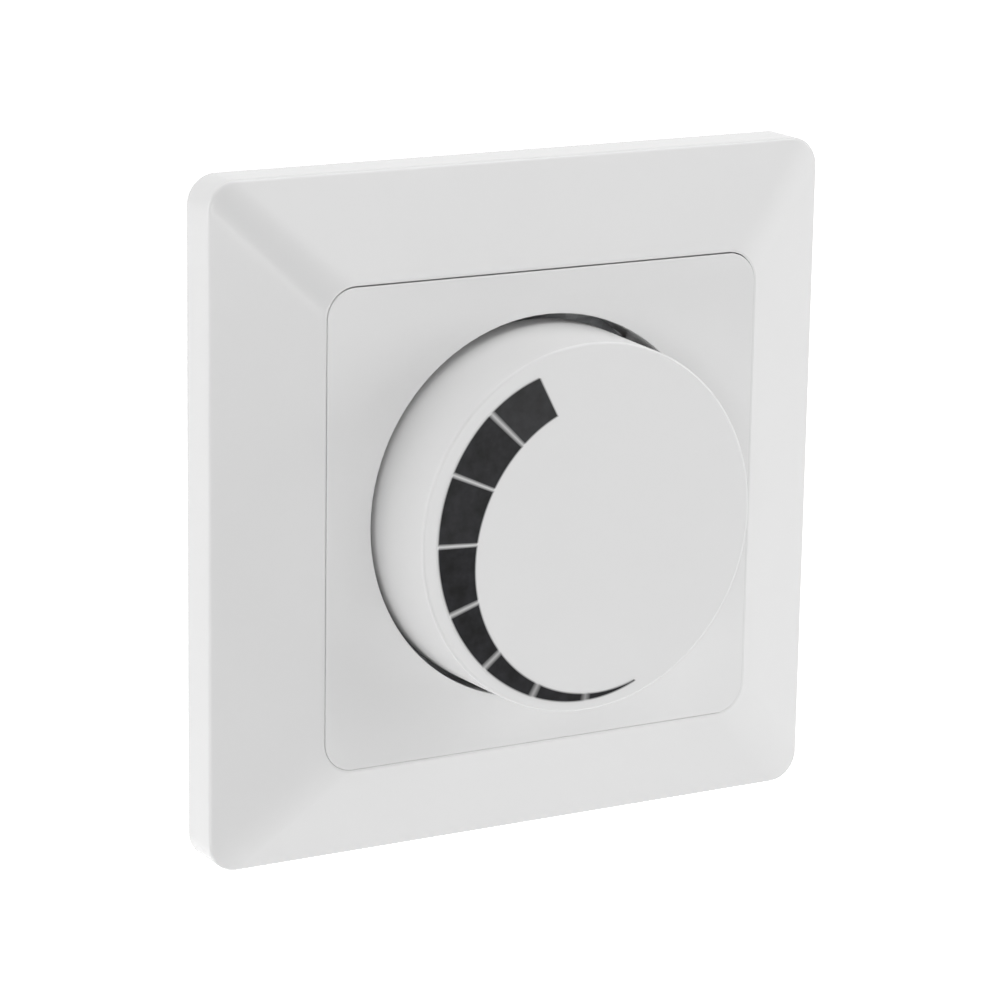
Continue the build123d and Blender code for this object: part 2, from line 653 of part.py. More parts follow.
def way_places():
    """Sideways positions of the terminal ways."""
    return [(index - (WAYS - 1) / 2) * WAY_PITCH for index in range(WAYS)]


def make_rear_housing():
    """Tub that fits a round flush box: screw bosses, vents, a window for the terminals and driver holes."""
    tub = slab(housing_outline(), -HOUSING_DEPTH, 0)
    tub = fillet(edges_at(tub, -HOUSING_DEPTH), HOUSING_EDGE_R)
    floor = HOUSING_WALL - HOUSING_DEPTH
    tub -= slab(housing_outline(HOUSING_WALL), floor, 0)
    for x, y in screw_places():
        tub += rod(BOSS_R, floor, 0, x, y) - rod(SCREW_R + THREAD_GAP, -SCREW_LENGTH, 0, x, y)
    window_width = BLOCK_WIDTH + 2 * BLOCK_GAP
    window_height = BLOCK_DEPTH + 2 * BLOCK_GAP
    tub -= bar(0, BLOCK_Y, -HOUSING_DEPTH, floor, window_width, window_height)
    vent_base = BLOCK_Y + BLOCK_DEPTH / 2 + VENT_PITCH
    for index in range(VENT_COUNT):
        vent = Pos(0, vent_base + index * VENT_PITCH) * SlotOverall(VENT_LENGTH, VENT_WIDTH)
        tub -= slab(vent, -HOUSING_DEPTH, floor)
    driver_hole = Rot(90, 0, 0) * Cylinder(DRIVER_HOLE_R, 2 * HOUSING_WALL)
    for x in way_places():
        tub -= Pos(x, -HOUSING_INNER, CLAMP_Z) * driver_hole
    return tub


def pan_screw(shank_r, length, head_r, head_t, seat):
    """Slotted pan-head screw along z, its head resting at one height."""
    screw = rod(shank_r, seat - length, seat) + rod(head_r, seat, seat + head_t)
    screw = chamfer(edges_at(screw, seat + head_t), SCREW_HEAD_CHAMFER)
    return screw - bar(0, 0, seat + head_t - SCREW_SLOT_DEPTH, seat + head_t, 2 * head_r, SCREW_SLOT_WIDTH)


def make_housing_screws():
    """Four screws through the mounting plate into the housing's bosses."""
    screw = pan_screw(SCREW_R, SCREW_LENGTH, SCREW_HEAD_R, SCREW_HEAD_T, MOUNT_T)
    return [Pos(x, y) * screw for x, y in screw_places()]


def triac_lead_places():
    """Sideways positions of the triac's three leads."""
    return [-SIDE_BAY + index * TRIAC_LEAD_PITCH for index in (-1, 0, 1)]


def lead_holes():
    """Plan outlines of the slots that leads and pins pass through, with the lead's own size."""
    holes = [(x, 0, TERMINAL_T, CONTACT_HEIGHT) for x in contact_places()]
    holes += [(x, TRACK_TAB_Y, TERMINAL_WIDTH, TERMINAL_T) for x in terminal_places()]
    holes += [(x, TRIAC_LEAD_Y, TRIAC_LEAD_T, TRIAC_LEAD_T) for x in triac_lead_places()]
    holes += [(x, y, LEAD_T, LEAD_T) for x, y in choke_lead_places()]
    for pitch, x, y in capacitor_places():
        holes += [(x + side * pitch / 2, y, LEAD_T, LEAD_T) for side in (-1, 1)]
    for span, x, y in axial_places():
        holes += [(x + side * span / 2, y, 2 * WIRE_R, 2 * WIRE_R) for side in (-1, 1)]
    holes += [(x, FUSE_Y, FUSE_TAIL_WIDTH, FUSE_CLIP_T) for x in fuse_clip_places()]
    holes += [(x, CLAMP_TAIL_Y, TERMINAL_WIDTH, CLAMP_T) for x in way_places()]
    return holes


def choke_lead_places():
    """Plan positions of the winding's two ends, under the second turn on each side of the lowest point."""
    sideways = CHOKE_WIRE_R * sin(radians(CHOKE_LEAD_ANGLE))
    return [(SIDE_BAY, side * sideways) for side in (1, -1)]


def capacitor_places():
    """Lead pitch and plan position of the filter capacitor and the timing capacitor."""
    return [(FILTER_CAP_PITCH, 0, SIDE_BAY), (TIMING_CAP_PITCH, SMALL_PART_X, TIMING_CAP_Y)]


def axial_places():
    """Span and plan position of each axial component: two resistors and the diac."""
    places = [(RESISTOR_SPAN, -SIDE_BAY, y) for y in (RESISTOR_Y, RESISTOR_Y - RESISTOR_PITCH)]
    return places + [(DIAC_SPAN, SMALL_PART_X, DIAC_Y)]


def fuse_clip_places():
    """Sideways positions of the two fuse clips."""
    return [side * (FUSE_LENGTH - FUSE_CAP_LENGTH) / 2 for side in (-1, 1)]


def make_circuit_board():
    """Board that fills the housing, notched round the bosses and pierced for every lead."""
    outline = housing_outline(HOUSING_WALL + BOARD_GAP)
    for x, y in screw_places():
        outline -= Pos(x, y) * Circle(BOSS_R + BOARD_GAP)
    for x, y, width, height in lead_holes():
        outline -= Pos(x, y) * Rectangle(width + 2 * CONTACT_GAP, height + 2 * CONTACT_GAP)
    return slab(outline, BOARD_BACK, BOARD_FRONT)


def make_triac():
    """Power package bolted flat to the mounting plate, its leads bent back to the board."""
    body_top = TRIAC_TOP - TRIAC_TAB_LENGTH
    body_bottom = body_top - TRIAC_BODY_LENGTH
    body_y = (body_top + body_bottom) / 2
    triac = bar(-SIDE_BAY, body_y, -PAD_T - TRIAC_BODY_T, -PAD_T, TRIAC_WIDTH, TRIAC_BODY_LENGTH)
    tab = Pos(-SIDE_BAY, TRIAC_HOLE_Y) * (Rectangle(TRIAC_WIDTH, TRIAC_TAB_LENGTH) - Circle(TRIAC_HOLE_R))
    triac += slab(tab, -PAD_T - TRIAC_TAB_T, -PAD_T)
    lead_z = -PAD_T - TRIAC_LEAD_SETBACK
    arm_y = (body_bottom + TRIAC_LEAD_Y) / 2
    for x in triac_lead_places():
        arm_length = body_bottom - TRIAC_LEAD_Y + TRIAC_LEAD_T
        triac += bar(x, arm_y, lead_z, lead_z + TRIAC_LEAD_T, TRIAC_LEAD_T, arm_length)
        triac += bar(x, TRIAC_LEAD_Y, PIN_END, lead_z, TRIAC_LEAD_T, TRIAC_LEAD_T)
    return triac


def make_insulating_pad():
    """Thin pad between the triac and the mounting plate."""
    length = TRIAC_TAB_LENGTH + TRIAC_BODY_LENGTH
    outline = Pos(-SIDE_BAY, TRIAC_TOP - length / 2) * Rectangle(TRIAC_WIDTH + PAD_MARGIN, length)
    outline -= Pos(-SIDE_BAY, TRIAC_HOLE_Y) * Circle(TRIAC_HOLE_R)
    return slab(outline, -PAD_T, 0)


def make_triac_screw():
    """Screw through the mounting plate, the pad and the triac's tab."""
    grip = MOUNT_T + PAD_T + TRIAC_TAB_T + TRIAC_NUT_T
    screw = pan_screw(TRIAC_SCREW_R, grip + TRIAC_SCREW_R, SCREW_HEAD_R, SCREW_HEAD_T, MOUNT_T)
    return Pos(-SIDE_BAY, TRIAC_HOLE_Y) * screw


def make_triac_nut():
    """Nut behind the triac's tab."""
    high = -PAD_T - TRIAC_TAB_T
    nut = hex_nut(TRIAC_NUT_FLATS, TRIAC_SCREW_R + THREAD_GAP, high - TRIAC_NUT_T, high)
    return Pos(-SIDE_BAY, TRIAC_HOLE_Y) * nut


def choke_place():
    """Upright toroid: its axis lies along x, beside the pot."""
    return Pos(SIDE_BAY, 0, CHOKE_Z) * Rot(0, 90, 0)


def make_choke_core():
    """Ring core of pressed powder."""
    ring = rod(CHOKE_OUTER_R, -CHOKE_HEIGHT / 2, CHOKE_HEIGHT / 2)
    return choke_place() * (ring - rod(CHOKE_INNER_R, -CHOKE_HEIGHT / 2, CHOKE_HEIGHT / 2))


def make_choke_winding():
    """Turns of wire round the core, with two ends that run down through the board."""
    window = (CHOKE_OUTER_R - CHOKE_INNER_R + 2 * CHOKE_GAP, CHOKE_HEIGHT + 2 * CHOKE_GAP)
    outline = Rectangle(window[0] + 2 * CHOKE_WIRE, window[1] + 2 * CHOKE_WIRE) - Rectangle(*window)
    loop = extrude(Plane.XZ * outline, CHOKE_WIRE / 2, both=True)
    loop = Pos((CHOKE_OUTER_R + CHOKE_INNER_R) / 2) * loop
    angles = [CHOKE_TURN_ANGLE * index + CHOKE_TURN_ANGLE / 2 for index in range(CHOKE_TURNS)]
    turns = [choke_place() * Rot(0, 0, angle) * loop for angle in angles]
    top = CHOKE_Z - CHOKE_WIRE_R * cos(radians(CHOKE_LEAD_ANGLE))
    for index, (x, y) in zip((1, -2), choke_lead_places()):
        turns[index] += bar(x, y, PIN_END, top, LEAD_T, LEAD_T)
    return turns


def box_capacitor(length, width, height, pitch, x, y):
    """Film capacitor in a rectangular case with two leads."""
    case = bar(x, y, BOARD_FRONT, BOARD_FRONT + height, length, width)
    case = fillet(case.edges().filter_by(Axis.Z), CAP_EDGE_R)
    for side in (-1, 1):
        case += bar(x + side * pitch / 2, y, PIN_END, BOARD_FRONT, LEAD_T, LEAD_T)
    return case


def make_filter_capacitor():
    """Interference capacitor above the push switch."""
    return box_capacitor(FILTER_CAP_LENGTH, FILTER_CAP_WIDTH, FILTER_CAP_HEIGHT, *capacitor_places()[0])


def make_timing_capacitor():
    """Small capacitor of the phase circuit."""
    return box_capacitor(TIMING_CAP_LENGTH, TIMING_CAP_WIDTH, TIMING_CAP_HEIGHT, *capacitor_places()[1])


def axial_part(radius, length, span, x, y):
    """Round body lying on the board, on a wire that is bent down through the board at both ends."""
    height = BOARD_FRONT + radius
    corners = [(-span / 2, PIN_END), (-span / 2, height), (span / 2, height), (span / 2, PIN_END)]
    path = Plane.XZ * Polyline(*corners)
    wire = sweep(Pos(-span / 2, 0, PIN_END) * Circle(WIRE_R), path, transition=Transition.RIGHT)
    body = Pos(0, 0, height) * Rot(0, 90, 0) * Cylinder(radius, length)
    return Pos(x, y) * (body + wire)


def make_resistors():
    """Two axial resistors."""
    return [axial_part(RESISTOR_R, RESISTOR_LENGTH, *place) for place in axial_places()[:-1]]


def make_diac():
    """Small axial trigger diode."""
    return axial_part(DIAC_R, DIAC_LENGTH, *axial_places()[-1])


def along_fuse(radius, start, end):
    """Round bar along the fuse's axis."""
    return Pos((start + end) / 2, FUSE_Y, FUSE_Z) * Rot(0, 90, 0) * Cylinder(radius, end - start)


def make_fuse_tube():
    """Glass tube of the fuse."""
    reach = FUSE_LENGTH / 2 - FUSE_CAP_T
    outer_r = FUSE_R - FUSE_CAP_T
    return along_fuse(outer_r, -reach, reach) - along_fuse(outer_r - FUSE_GLASS_T, -reach, reach)


def make_fuse_caps():
    """Two metal end caps."""
    reach = FUSE_LENGTH / 2
    caps = []
    for side in (-1, 1):
        tip = side * reach
        floor = side * (reach - FUSE_CAP_T)
        mouth = side * (reach - FUSE_CAP_LENGTH)
        cap = along_fuse(FUSE_R, min(tip, mouth), max(tip, mouth))
        caps.append(cap - along_fuse(FUSE_R - FUSE_CAP_T, min(floor, mouth), max(floor, mouth)))
    return caps


def make_fuse_clips():
    """Two spring clips, open at the top, each with a tail through the board."""
    clips = []
    outer = FUSE_R + FUSE_CLIP_T
    for x in fuse_clip_places():
        clip = along_fuse(outer, x - FUSE_CLIP_WIDTH / 2, x + FUSE_CLIP_WIDTH / 2)
        clip -= along_fuse(FUSE_R + THREAD_GAP, x - FUSE_CLIP_WIDTH / 2, x + FUSE_CLIP_WIDTH / 2)
        clip -= bar(x, FUSE_Y, FUSE_Z + FUSE_CLIP_RISE, FUSE_Z + outer, FUSE_CLIP_WIDTH, 2 * outer)
        bottom = FUSE_Z - FUSE_R - FUSE_CLIP_T / 2
        clips.append(clip + bar(x, FUSE_Y, PIN_END, bottom, FUSE_TAIL_WIDTH, FUSE_CLIP_T))
    return clips


def make_terminal_block():
    """Block behind the board: relief for solder pins, a pocket, a wire hole and a screw hole for each way."""
    block = bar(0, BLOCK_Y, BLOCK_BACK, BOARD_BACK, BLOCK_WIDTH, BLOCK_DEPTH)
    relief_width = BLOCK_WIDTH - 2 * BLOCK_WALL
    block -= bar(0, BLOCK_Y, BLOCK_RELIEF, BOARD_BACK, relief_width, BLOCK_DEPTH - 2 * BLOCK_WALL)
    pocket_side = CLAMP_SIDE + 2 * CLAMP_GAP
    for x in way_places():
        block -= bar(x, BLOCK_Y, CLAMP_BACK, BLOCK_RELIEF, pocket_side, pocket_side)
        block -= rod(WIRE_HOLE_R, BLOCK_BACK, CLAMP_BACK, x, BLOCK_Y)
        screw_hole = Cylinder(TERMINAL_SCREW_HEAD_R + CLAMP_GAP, BLOCK_DEPTH / 2)
        block -= Pos(x, BLOCK_Y - BLOCK_DEPTH / 4, CLAMP_Z) * Rot(90, 0, 0) * screw_hole
    return block


def make_terminal_clamps():
    """Three brass cages, open towards the wire, each with a screw hole below and a tail through the board."""
    clamps = []
    for x in way_places():
        cage = bar(x, BLOCK_Y, CLAMP_BACK, CLAMP_FRONT, CLAMP_SIDE, CLAMP_SIDE)
        inside = CLAMP_SIDE - 2 * CLAMP_T
        cage -= bar(x, BLOCK_Y, CLAMP_BACK, CLAMP_FRONT, inside, inside)
        cage += bar(x, CLAMP_TAIL_Y, CLAMP_FRONT, BOARD_FRONT + PIN_STICK_OUT, TERMINAL_WIDTH, CLAMP_T)
        hole = Cylinder(TERMINAL_SCREW_R + THREAD_GAP, CLAMP_SIDE / 2)
        clamps.append(cage - Pos(x, BLOCK_Y - CLAMP_SIDE / 2, CLAMP_Z) * Rot(90, 0, 0) * hole)
    return clamps


def make_terminal_screws():
    """Three clamp screws that face the housing's lower side."""
    length = CLAMP_T + CLAMP_GAP + WIRE_HOLE_R / 2
    screw = pan_screw(TERMINAL_SCREW_R, length, TERMINAL_SCREW_HEAD_R, TERMINAL_SCREW_HEAD_T, 0)
    seat = BLOCK_Y - CLAMP_SIDE / 2
    return [Pos(x, seat, CLAMP_Z) * Rot(90, 0, 0) * screw for x in way_places()]


PIECES = {
    "cover_frame": make_cover_frame,
    "centre_plate": make_centre_plate,
    "knob": make_knob,
    "level_scale": make_level_scale,
    "mounting_plate": make_mounting_plate,
    "control_shaft": make_control_shaft,
    "control_bush": make_control_bush,
    "bush_washer": make_bush_washer,
    "bush_nut": make_bush_nut,
    "pot_housing": make_pot_housing,
    "track_wafer": make_track_wafer,
    "track_terminals": make_track_terminals,
    "wiper_rotor": make_wiper_rotor,
    "wiper": make_wiper,
    "switch_body": make_switch_body,
    "switch_base": make_switch_base,
    "fixed_contacts": make_fixed_contacts,
    "switch_plunger": make_switch_plunger,
    "moving_contact": make_moving_contact,
    "return_spring": make_return_spring,
    "rear_housing": make_rear_housing,
    "housing_screws": make_housing_screws,
    "circuit_board": make_circuit_board,
    "triac": make_triac,
    "insulating_pad": make_insulating_pad,
    "triac_screw": make_triac_screw,
    "triac_nut": make_triac_nut,
    "choke_core": make_choke_core,
    "choke_winding": make_choke_winding,
    "filter_capacitor": make_filter_capacitor,
    "timing_capacitor": make_timing_capacitor,
    "resistors": make_resistors,
    "diac": make_diac,
    "fuse_tube": make_fuse_tube,
    "fuse_caps": make_fuse_caps,
    "fuse_clips": make_fuse_clips,
    "terminal_block": make_terminal_block,
    "terminal_clamps": make_terminal_clamps,
    "terminal_screws": make_terminal_screws,
}

os.makedirs("parts", exist_ok=True)
UPRIGHT = Rot(90, 0, 0)
for node, make in PIECES.items():
    made = make()
    solids = made if isinstance(made, list) else made.solids()
    upright = [UPRIGHT * solid for solid in solids]
    export_step(upright[0] if len(upright) == 1 else Compound(upright), f"parts/{node}.step")
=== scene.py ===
"""Studio scene of a push-and-turn wall dimmer.

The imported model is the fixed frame. The white mouldings are worked out here again as smooth surfaces of
the same form, the other pieces keep their solids, and every piece gets its own finish.
"""

import logging
import math
from dataclasses import dataclass
from enum import Enum

import bpy
import numpy as np
from mathutils import Matrix, Vector


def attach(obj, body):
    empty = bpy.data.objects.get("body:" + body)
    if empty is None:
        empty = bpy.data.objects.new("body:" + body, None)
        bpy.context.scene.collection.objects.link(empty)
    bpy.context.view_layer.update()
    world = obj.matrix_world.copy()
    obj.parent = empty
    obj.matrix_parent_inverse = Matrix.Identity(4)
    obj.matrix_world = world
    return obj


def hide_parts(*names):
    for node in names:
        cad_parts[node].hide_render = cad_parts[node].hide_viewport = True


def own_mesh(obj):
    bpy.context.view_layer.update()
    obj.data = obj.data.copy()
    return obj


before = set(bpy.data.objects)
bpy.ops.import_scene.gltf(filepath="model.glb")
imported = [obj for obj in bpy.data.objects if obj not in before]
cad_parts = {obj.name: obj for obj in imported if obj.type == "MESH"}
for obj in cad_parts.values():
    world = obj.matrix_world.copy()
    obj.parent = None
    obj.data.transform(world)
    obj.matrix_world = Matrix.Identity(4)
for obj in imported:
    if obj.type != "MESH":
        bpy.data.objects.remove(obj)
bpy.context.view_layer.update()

LOG = logging.getLogger("dimmer")
MM = 0.001
FULL_TURN = 2 * math.pi
BEVEL_STEPS = 2

Colour = tuple[float, float, float]
Material = bpy.types.Material
Piece = bpy.types.Object
Socket = bpy.types.NodeSocket
Tree = bpy.types.NodeTree


class Body(Enum):
    """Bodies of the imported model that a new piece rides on."""

    FIXED = "root"
    KNOB = "knob"


class Slot(Enum):
    """Material slots of the record."""

    WHITE = "white_plastic"
    INK = "print_ink"
    STEEL = "bright_steel"


class Axis(Enum):
    """Axes along the wall, by their place in a point that is drawn face up."""

    RIGHT = 0
    UP = 1


# Shapes: stations round the axis, profiles and closed grids


@dataclass(frozen=True)
class Ring:
    """Steps round the axis that a rounded square and a circle share.

    Args:
        straight: Steps along each side.
        arc: Steps round each corner.
        fan: Share of the normals in a circle's directions, which spaces its steps out at the corners.
    """

    straight: int = 24
    arc: int = 20
    fan: float = 0.15

    def bases(self) -> tuple[np.ndarray, np.ndarray, np.ndarray]:
        """Three bases that every outline is a sum of.

        A rounded square is the inner square of half side minus corner radius, plus the corner radius along
        the outward normal. A circle is its radius along the direction from the axis.

        Returns:
            Unit-square points, outward normals and directions from the axis, each of shape (steps, 2).
        """
        corner = np.array([[1, 1], [-1, 1], [-1, -1], [1, -1]], float)
        following = np.roll(corner, -1, axis=0)
        quarter = np.arange(4)[:, None] * (math.pi / 2)
        turn = quarter + np.linspace(0, math.pi / 2, self.arc + 1)
        arc_normals = np.stack([np.cos(turn), np.sin(turn)], -1)
        arc_points = np.repeat(corner[:, None], self.arc + 1, axis=1)
        share = np.linspace(0, 1, self.straight + 1)[1:-1, None]
        side_points = corner[:, None] * (1 - share) + following[:, None] * share
        side_normals = np.repeat(arc_normals[:, -1:], self.straight - 1, axis=1)
        points = np.concatenate([arc_points, side_points], 1).reshape(-1, 2)
        normals = np.concatenate([arc_normals, side_normals], 1).reshape(-1, 2)
        reach = (1 - self.fan) * points + self.fan * normals
        return points, normals, reach / np.linalg.norm(reach, axis=1, keepdims=True)


class Shape(Enum):
    """Outline of a station: a rounded square or a circle."""

    SQUARE = 0.0
    ROUND = 1.0


@dataclass(frozen=True)
class Station:
    """One corner of a profile.

    Args:
        reach: Half side of the square, or radius of the circle, in mm.
        height: Height over the wall in mm.
        corner_r: Corner radius of the square in mm.
        edge_r: Radius that rounds the profile at this corner, in mm.
        shape: Outline round the axis.
    """

    reach: float
    height: float
    corner_r: float = 0.0
    edge_r: float = 0.0
    shape: Shape = Shape.SQUARE

    def row(self) -> list[float]:
        """Numbers that are carried along the profile."""
        return [self.reach, self.height, self.corner_r, self.shape.value]


def rounded_profile(stations: list[Station], closed: bool, steps: int = 6,
                    support: float = 0.12) -> np.ndarray:
    """Profile with its corners rounded.

    A corner of radius r that turns by t is left r * tan(t / 2) before it and joined again as far behind it,
    along the arc centre - r * n * cos(a) + r * d * sin(a) for a from 0 to t, with d the way in and n its
    normal. A row of support lies close to each end of an arc, so that flat faces shade flat.

    Args:
        stations: Corners of the profile in order.
        closed: Whether the last corner is followed by the first.
        steps: Steps in each arc.
        support: Distance of the support rows from the arc in mm, at most a quarter of the way.

    Returns:
        Rows of reach, height, corner radius and roundness.
    """
    rows = np.array([station.row() for station in stations])
    count = len(rows)
    made = []
    for index, station in enumerate(stations):
        here = rows[index]
        if station.edge_r == 0 or (not closed and index in (0, count - 1)):
            made.append(here)
            continue
        before = rows[index - 1] - here
        after = rows[(index + 1) % count] - here
        length_in = np.linalg.norm(before[:2])
        length_out = np.linalg.norm(after[:2])
        way_in = -before[:2] / length_in
        way_out = after[:2] / length_out
        side = np.sign(way_in[0] * way_out[1] - way_in[1] * way_out[0])
        turn = math.acos(np.clip(way_in @ way_out, -1, 1))
        left = station.edge_r * math.tan(turn / 2)
        start = here + before * left / length_in
        end = here + after * left / length_out
        normal = side * np.array([-way_in[1], way_in[0]])
        angle = np.linspace(0, turn, steps + 1)[:, None]
        centre = start[:2] + normal * station.edge_r
        arc = centre + station.edge_r * (np.sin(angle) * way_in - np.cos(angle) * normal)
        share = angle / turn
        carried = start[2:] * (1 - share) + end[2:] * share
        made.append(start + before * min(support, length_in / 4) / length_in)
        made.extend(np.hstack([arc, carried]))
        made.append(end + after * min(support, length_out / 4) / length_out)
    return np.array(made)


def swept_square(profile: np.ndarray, ring: Ring, centre: tuple[float, float] = (0.0, 0.0),
                 tall: float = 1.0) -> np.ndarray:
    """Points of a profile carried round the axis.

    Each row gives (reach - corner) * square + corner * normal for a square and centre + reach * direction
    for a circle, mixed by its roundness.

    Args:
        profile: Rows of reach, height, corner radius and roundness in mm.
        ring: Steps round the axis.
        centre: Centre of the circles in mm.
        tall: Height of the squares as a share of their width.

    Returns:
        Grid of points, drawn face up, of shape (rows, steps, 3).
    """
    points, normals, directions = ring.bases()
    reach, height, corner, roundness = (column[:, None, None] for column in profile.T)
    square = ((reach - corner) * points + corner * normals) * np.array([1.0, tall])
    plan = square * (1 - roundness) + (np.array(centre) + reach * directions) * roundness
    return np.concatenate([plan, np.broadcast_to(height, plan.shape[:2] + (1,))], -1)


def upright(points: np.ndarray) -> np.ndarray:
    """Turns points that are drawn face up, in mm, into the frame's metres.

    Args:
        points: Array whose last axis is right, up the wall and out of the wall.

    Returns:
        Array of the same shape with the front towards -Y and +Z up.
    """
    return np.stack([points[..., 0], -points[..., 2], points[..., 1]], -1) * MM


def grid_faces(rows: int, steps: int, closed: bool) -> np.ndarray:
    """Quads of a grid that is closed round its steps, and along its rows too where asked.

    Args:
        rows: Rows of the grid.
        steps: Points in each row.
        closed: Whether the last row joins the first.

    Returns:
        Indices of shape (quads, 4).
    """
    row = np.arange(rows if closed else rows - 1)[:, None]
    step = np.arange(steps)[None, :]
    following_row = (row + 1) % rows
    following_step = (step + 1) % steps
    quads = [row * steps + step, row * steps + following_step, following_row * steps + following_step,
             following_row * steps + step]
    return np.stack([np.broadcast_to(quad, (len(row), steps)) for quad in quads], -1).reshape(-1, 4)


def fan_faces(pole: int, first: int, steps: int) -> np.ndarray:
    """Triangles between a pole and a row of points.

    Args:
        pole: Index of the pole.
        first: Index of the row's first point.
        steps: Points in the row.

    Returns:
        Indices of shape (steps, 3).
    """
    step = np.arange(steps)
    return np.stack([np.full(steps, pole), first + (step + 1) % steps, first + step], -1)


def outward(points: np.ndarray, faces: list[np.ndarray]) -> list[list[int]]:
    """Faces turned so that the closed shape has a positive volume.

    The volume is a sixth of the sum of the triple products of each triangle's corners.

    Args:
        points: Points of shape (count, 3).
        faces: Arrays of quads or triangles.

    Returns:
        Faces as plain lists.
    """
    volume = 0.0
    for block in faces:
        for second in range(1, block.shape[1] - 1):
            a, b, c = points[block[:, 0]], points[block[:, second]], points[block[:, second + 1]]
            volume += np.einsum("ij,ij->", a, np.cross(b, c))
    if volume < 0:
        faces = [block[:, ::-1] for block in faces]
    return [face for block in faces for face in block.tolist()]


def make_object(name: str, points: np.ndarray, faces: list[np.ndarray],
                sharp_deg: float = 32.0) -> Piece:
    """Smooth-shaded object at the origin, with its place in its mesh.

    Args:
        name: Name of the piece.
        points: Points in metres, of shape (count, 3).
        faces: Arrays of quads or triangles.
        sharp_deg: Edges that turn by more stay sharp, in degrees.

    Returns:
        The new object.
    """
    mesh = bpy.data.meshes.new(name)
    mesh.from_pydata(points.tolist(), [], outward(points, faces))
    mesh.polygons.foreach_set("use_smooth", np.ones(len(mesh.polygons), bool))
    mesh.set_sharp_from_angle(angle=math.radians(sharp_deg))
    mesh.update()
    made = bpy.data.objects.new(name, mesh)
    bpy.context.scene.collection.objects.link(made)
    return made


def closed_ring(name: str, grid: np.ndarray) -> Piece:
    """Object from a grid that is closed both ways.

    Args:
        name: Name of the piece.
        grid: Points, drawn face up in mm, of shape (rows, steps, 3).

    Returns:
        The new object.
    """
    rows, steps = grid.shape[:2]
    return make_object(name, upright(grid.reshape(-1, 3)), [grid_faces(rows, steps, True)])


def capped_tube(name: str, grid: np.ndarray, poles: np.ndarray) -> Piece:
    """Object from a grid that is closed round its steps, with a pole at each end.

    Args:
        name: Name of the piece.
        grid: Points, drawn face up in mm, of shape (rows, steps, 3).
        poles: Poles at the first and at the last row, of shape (2, 3).

    Returns:
        The new object.
    """
    rows, steps = grid.shape[:2]
    count = rows * steps
    points = np.concatenate([grid.reshape(-1, 3), poles])
    faces = [
        grid_faces(rows, steps, False),
        fan_faces(count, 0, steps),
        fan_faces(count + 1, count - steps, steps)[:, ::-1],
    ]
    return make_object(name, upright(points), faces)


def drawn_out(section: np.ndarray, ends: np.ndarray, axis: Axis) -> np.ndarray:
    """End profiles of bars: a section in reach and height, repeated at both ends of each bar.

    Args:
        section: Corners in reach and height, of shape (corners, 2).
        ends: Places of both ends along the axis, of shape (..., 2).
        axis: Axis that the bars run along. The reach lies along the other one.

    Returns:
        Points, face up, of shape (..., 2, corners, 3).
    """
    grid = np.empty((*ends.shape, len(section), 3))
    grid[..., axis.value] = ends[..., None]
    grid[..., 1 - axis.value] = section[:, 0]
    grid[..., 2] = section[:, 1]
    return grid


def prisms(name: str, rings: np.ndarray, bevel: float = 0.0) -> Piece:
    """Closed bars, each a profile carried along a path.

    Args:
        name: Name of the piece.
        rings: Profiles along each bar, face up in mm, of shape (bars, rows, corners, 3).
        bevel: Width of the rounded edges in mm, or 0 for sharp ones.

    Returns:
        The new object.
    """
    bars, rows, corners, _ = rings.shape
    side = grid_faces(rows, corners, False)
    ends = np.stack([np.arange(corners)[::-1], np.arange(corners) + (rows - 1) * corners])
    start = np.arange(bars)[:, None, None] * rows * corners
    faces = [(start + side).reshape(-1, 4), (start + ends).reshape(-1, corners)]
    made = make_object(name, upright(rings.reshape(-1, 3)), faces)
    if bevel == 0:
        return made
    rounding = made.modifiers.new("edges", "BEVEL")
    rounding.width = bevel * MM
    rounding.segments = BEVEL_STEPS
    rounding.limit_method = "ANGLE"
    return made


def turned_about_axis(points: np.ndarray, angles: np.ndarray) -> np.ndarray:
    """Copies of points turned about the axis out of the wall.

    Args:
        points: Points of shape (..., 3).
        angles: Turn of each copy in radians.

    Returns:
        Array of shape (copies, ..., 3).
    """
    cos, sin = np.cos(angles), np.sin(angles)
    zero, one = np.zeros_like(cos), np.ones_like(cos)
    turns = np.stack([np.stack([cos, -sin, zero], -1), np.stack([sin, cos, zero], -1),
                      np.stack([zero, zero, one], -1)], -2)
    return np.einsum("cij,...j->c...i", turns, points)


# Finishes


def combined(tree: Tree, operation: str, *values: Socket | float) -> Socket:
    """Result of a Math node.

    Args:
        tree: Node tree to add it to.
        operation: Name of the operation.
        values: Sockets and numbers to work on.

    Returns:
        The value output.
    """
    node = tree.nodes.new("ShaderNodeMath")
    node.operation = operation
    for value, socket in zip(values, node.inputs):
        if isinstance(value, Socket):
            tree.links.new(value, socket)
        else:
            socket.default_value = value
    return node.outputs["Value"]


def ranged(tree: Tree, value: Socket, source: tuple[float, float],
           target: tuple[float, float]) -> Socket:
    """Value mapped from one range to another, and held at its ends.

    Args:
        tree: Node tree to add the node to.
        value: Value to map.
        source: Range of the value.
        target: Range of the result.

    Returns:
        The value output.
    """
    node = tree.nodes.new("ShaderNodeMapRange")
    for name, number in zip(("From Min", "From Max", "To Min", "To Max"), (*source, *target)):
        node.inputs[name].default_value = number
    tree.links.new(value, node.inputs["Value"])
    return node.outputs["Result"]


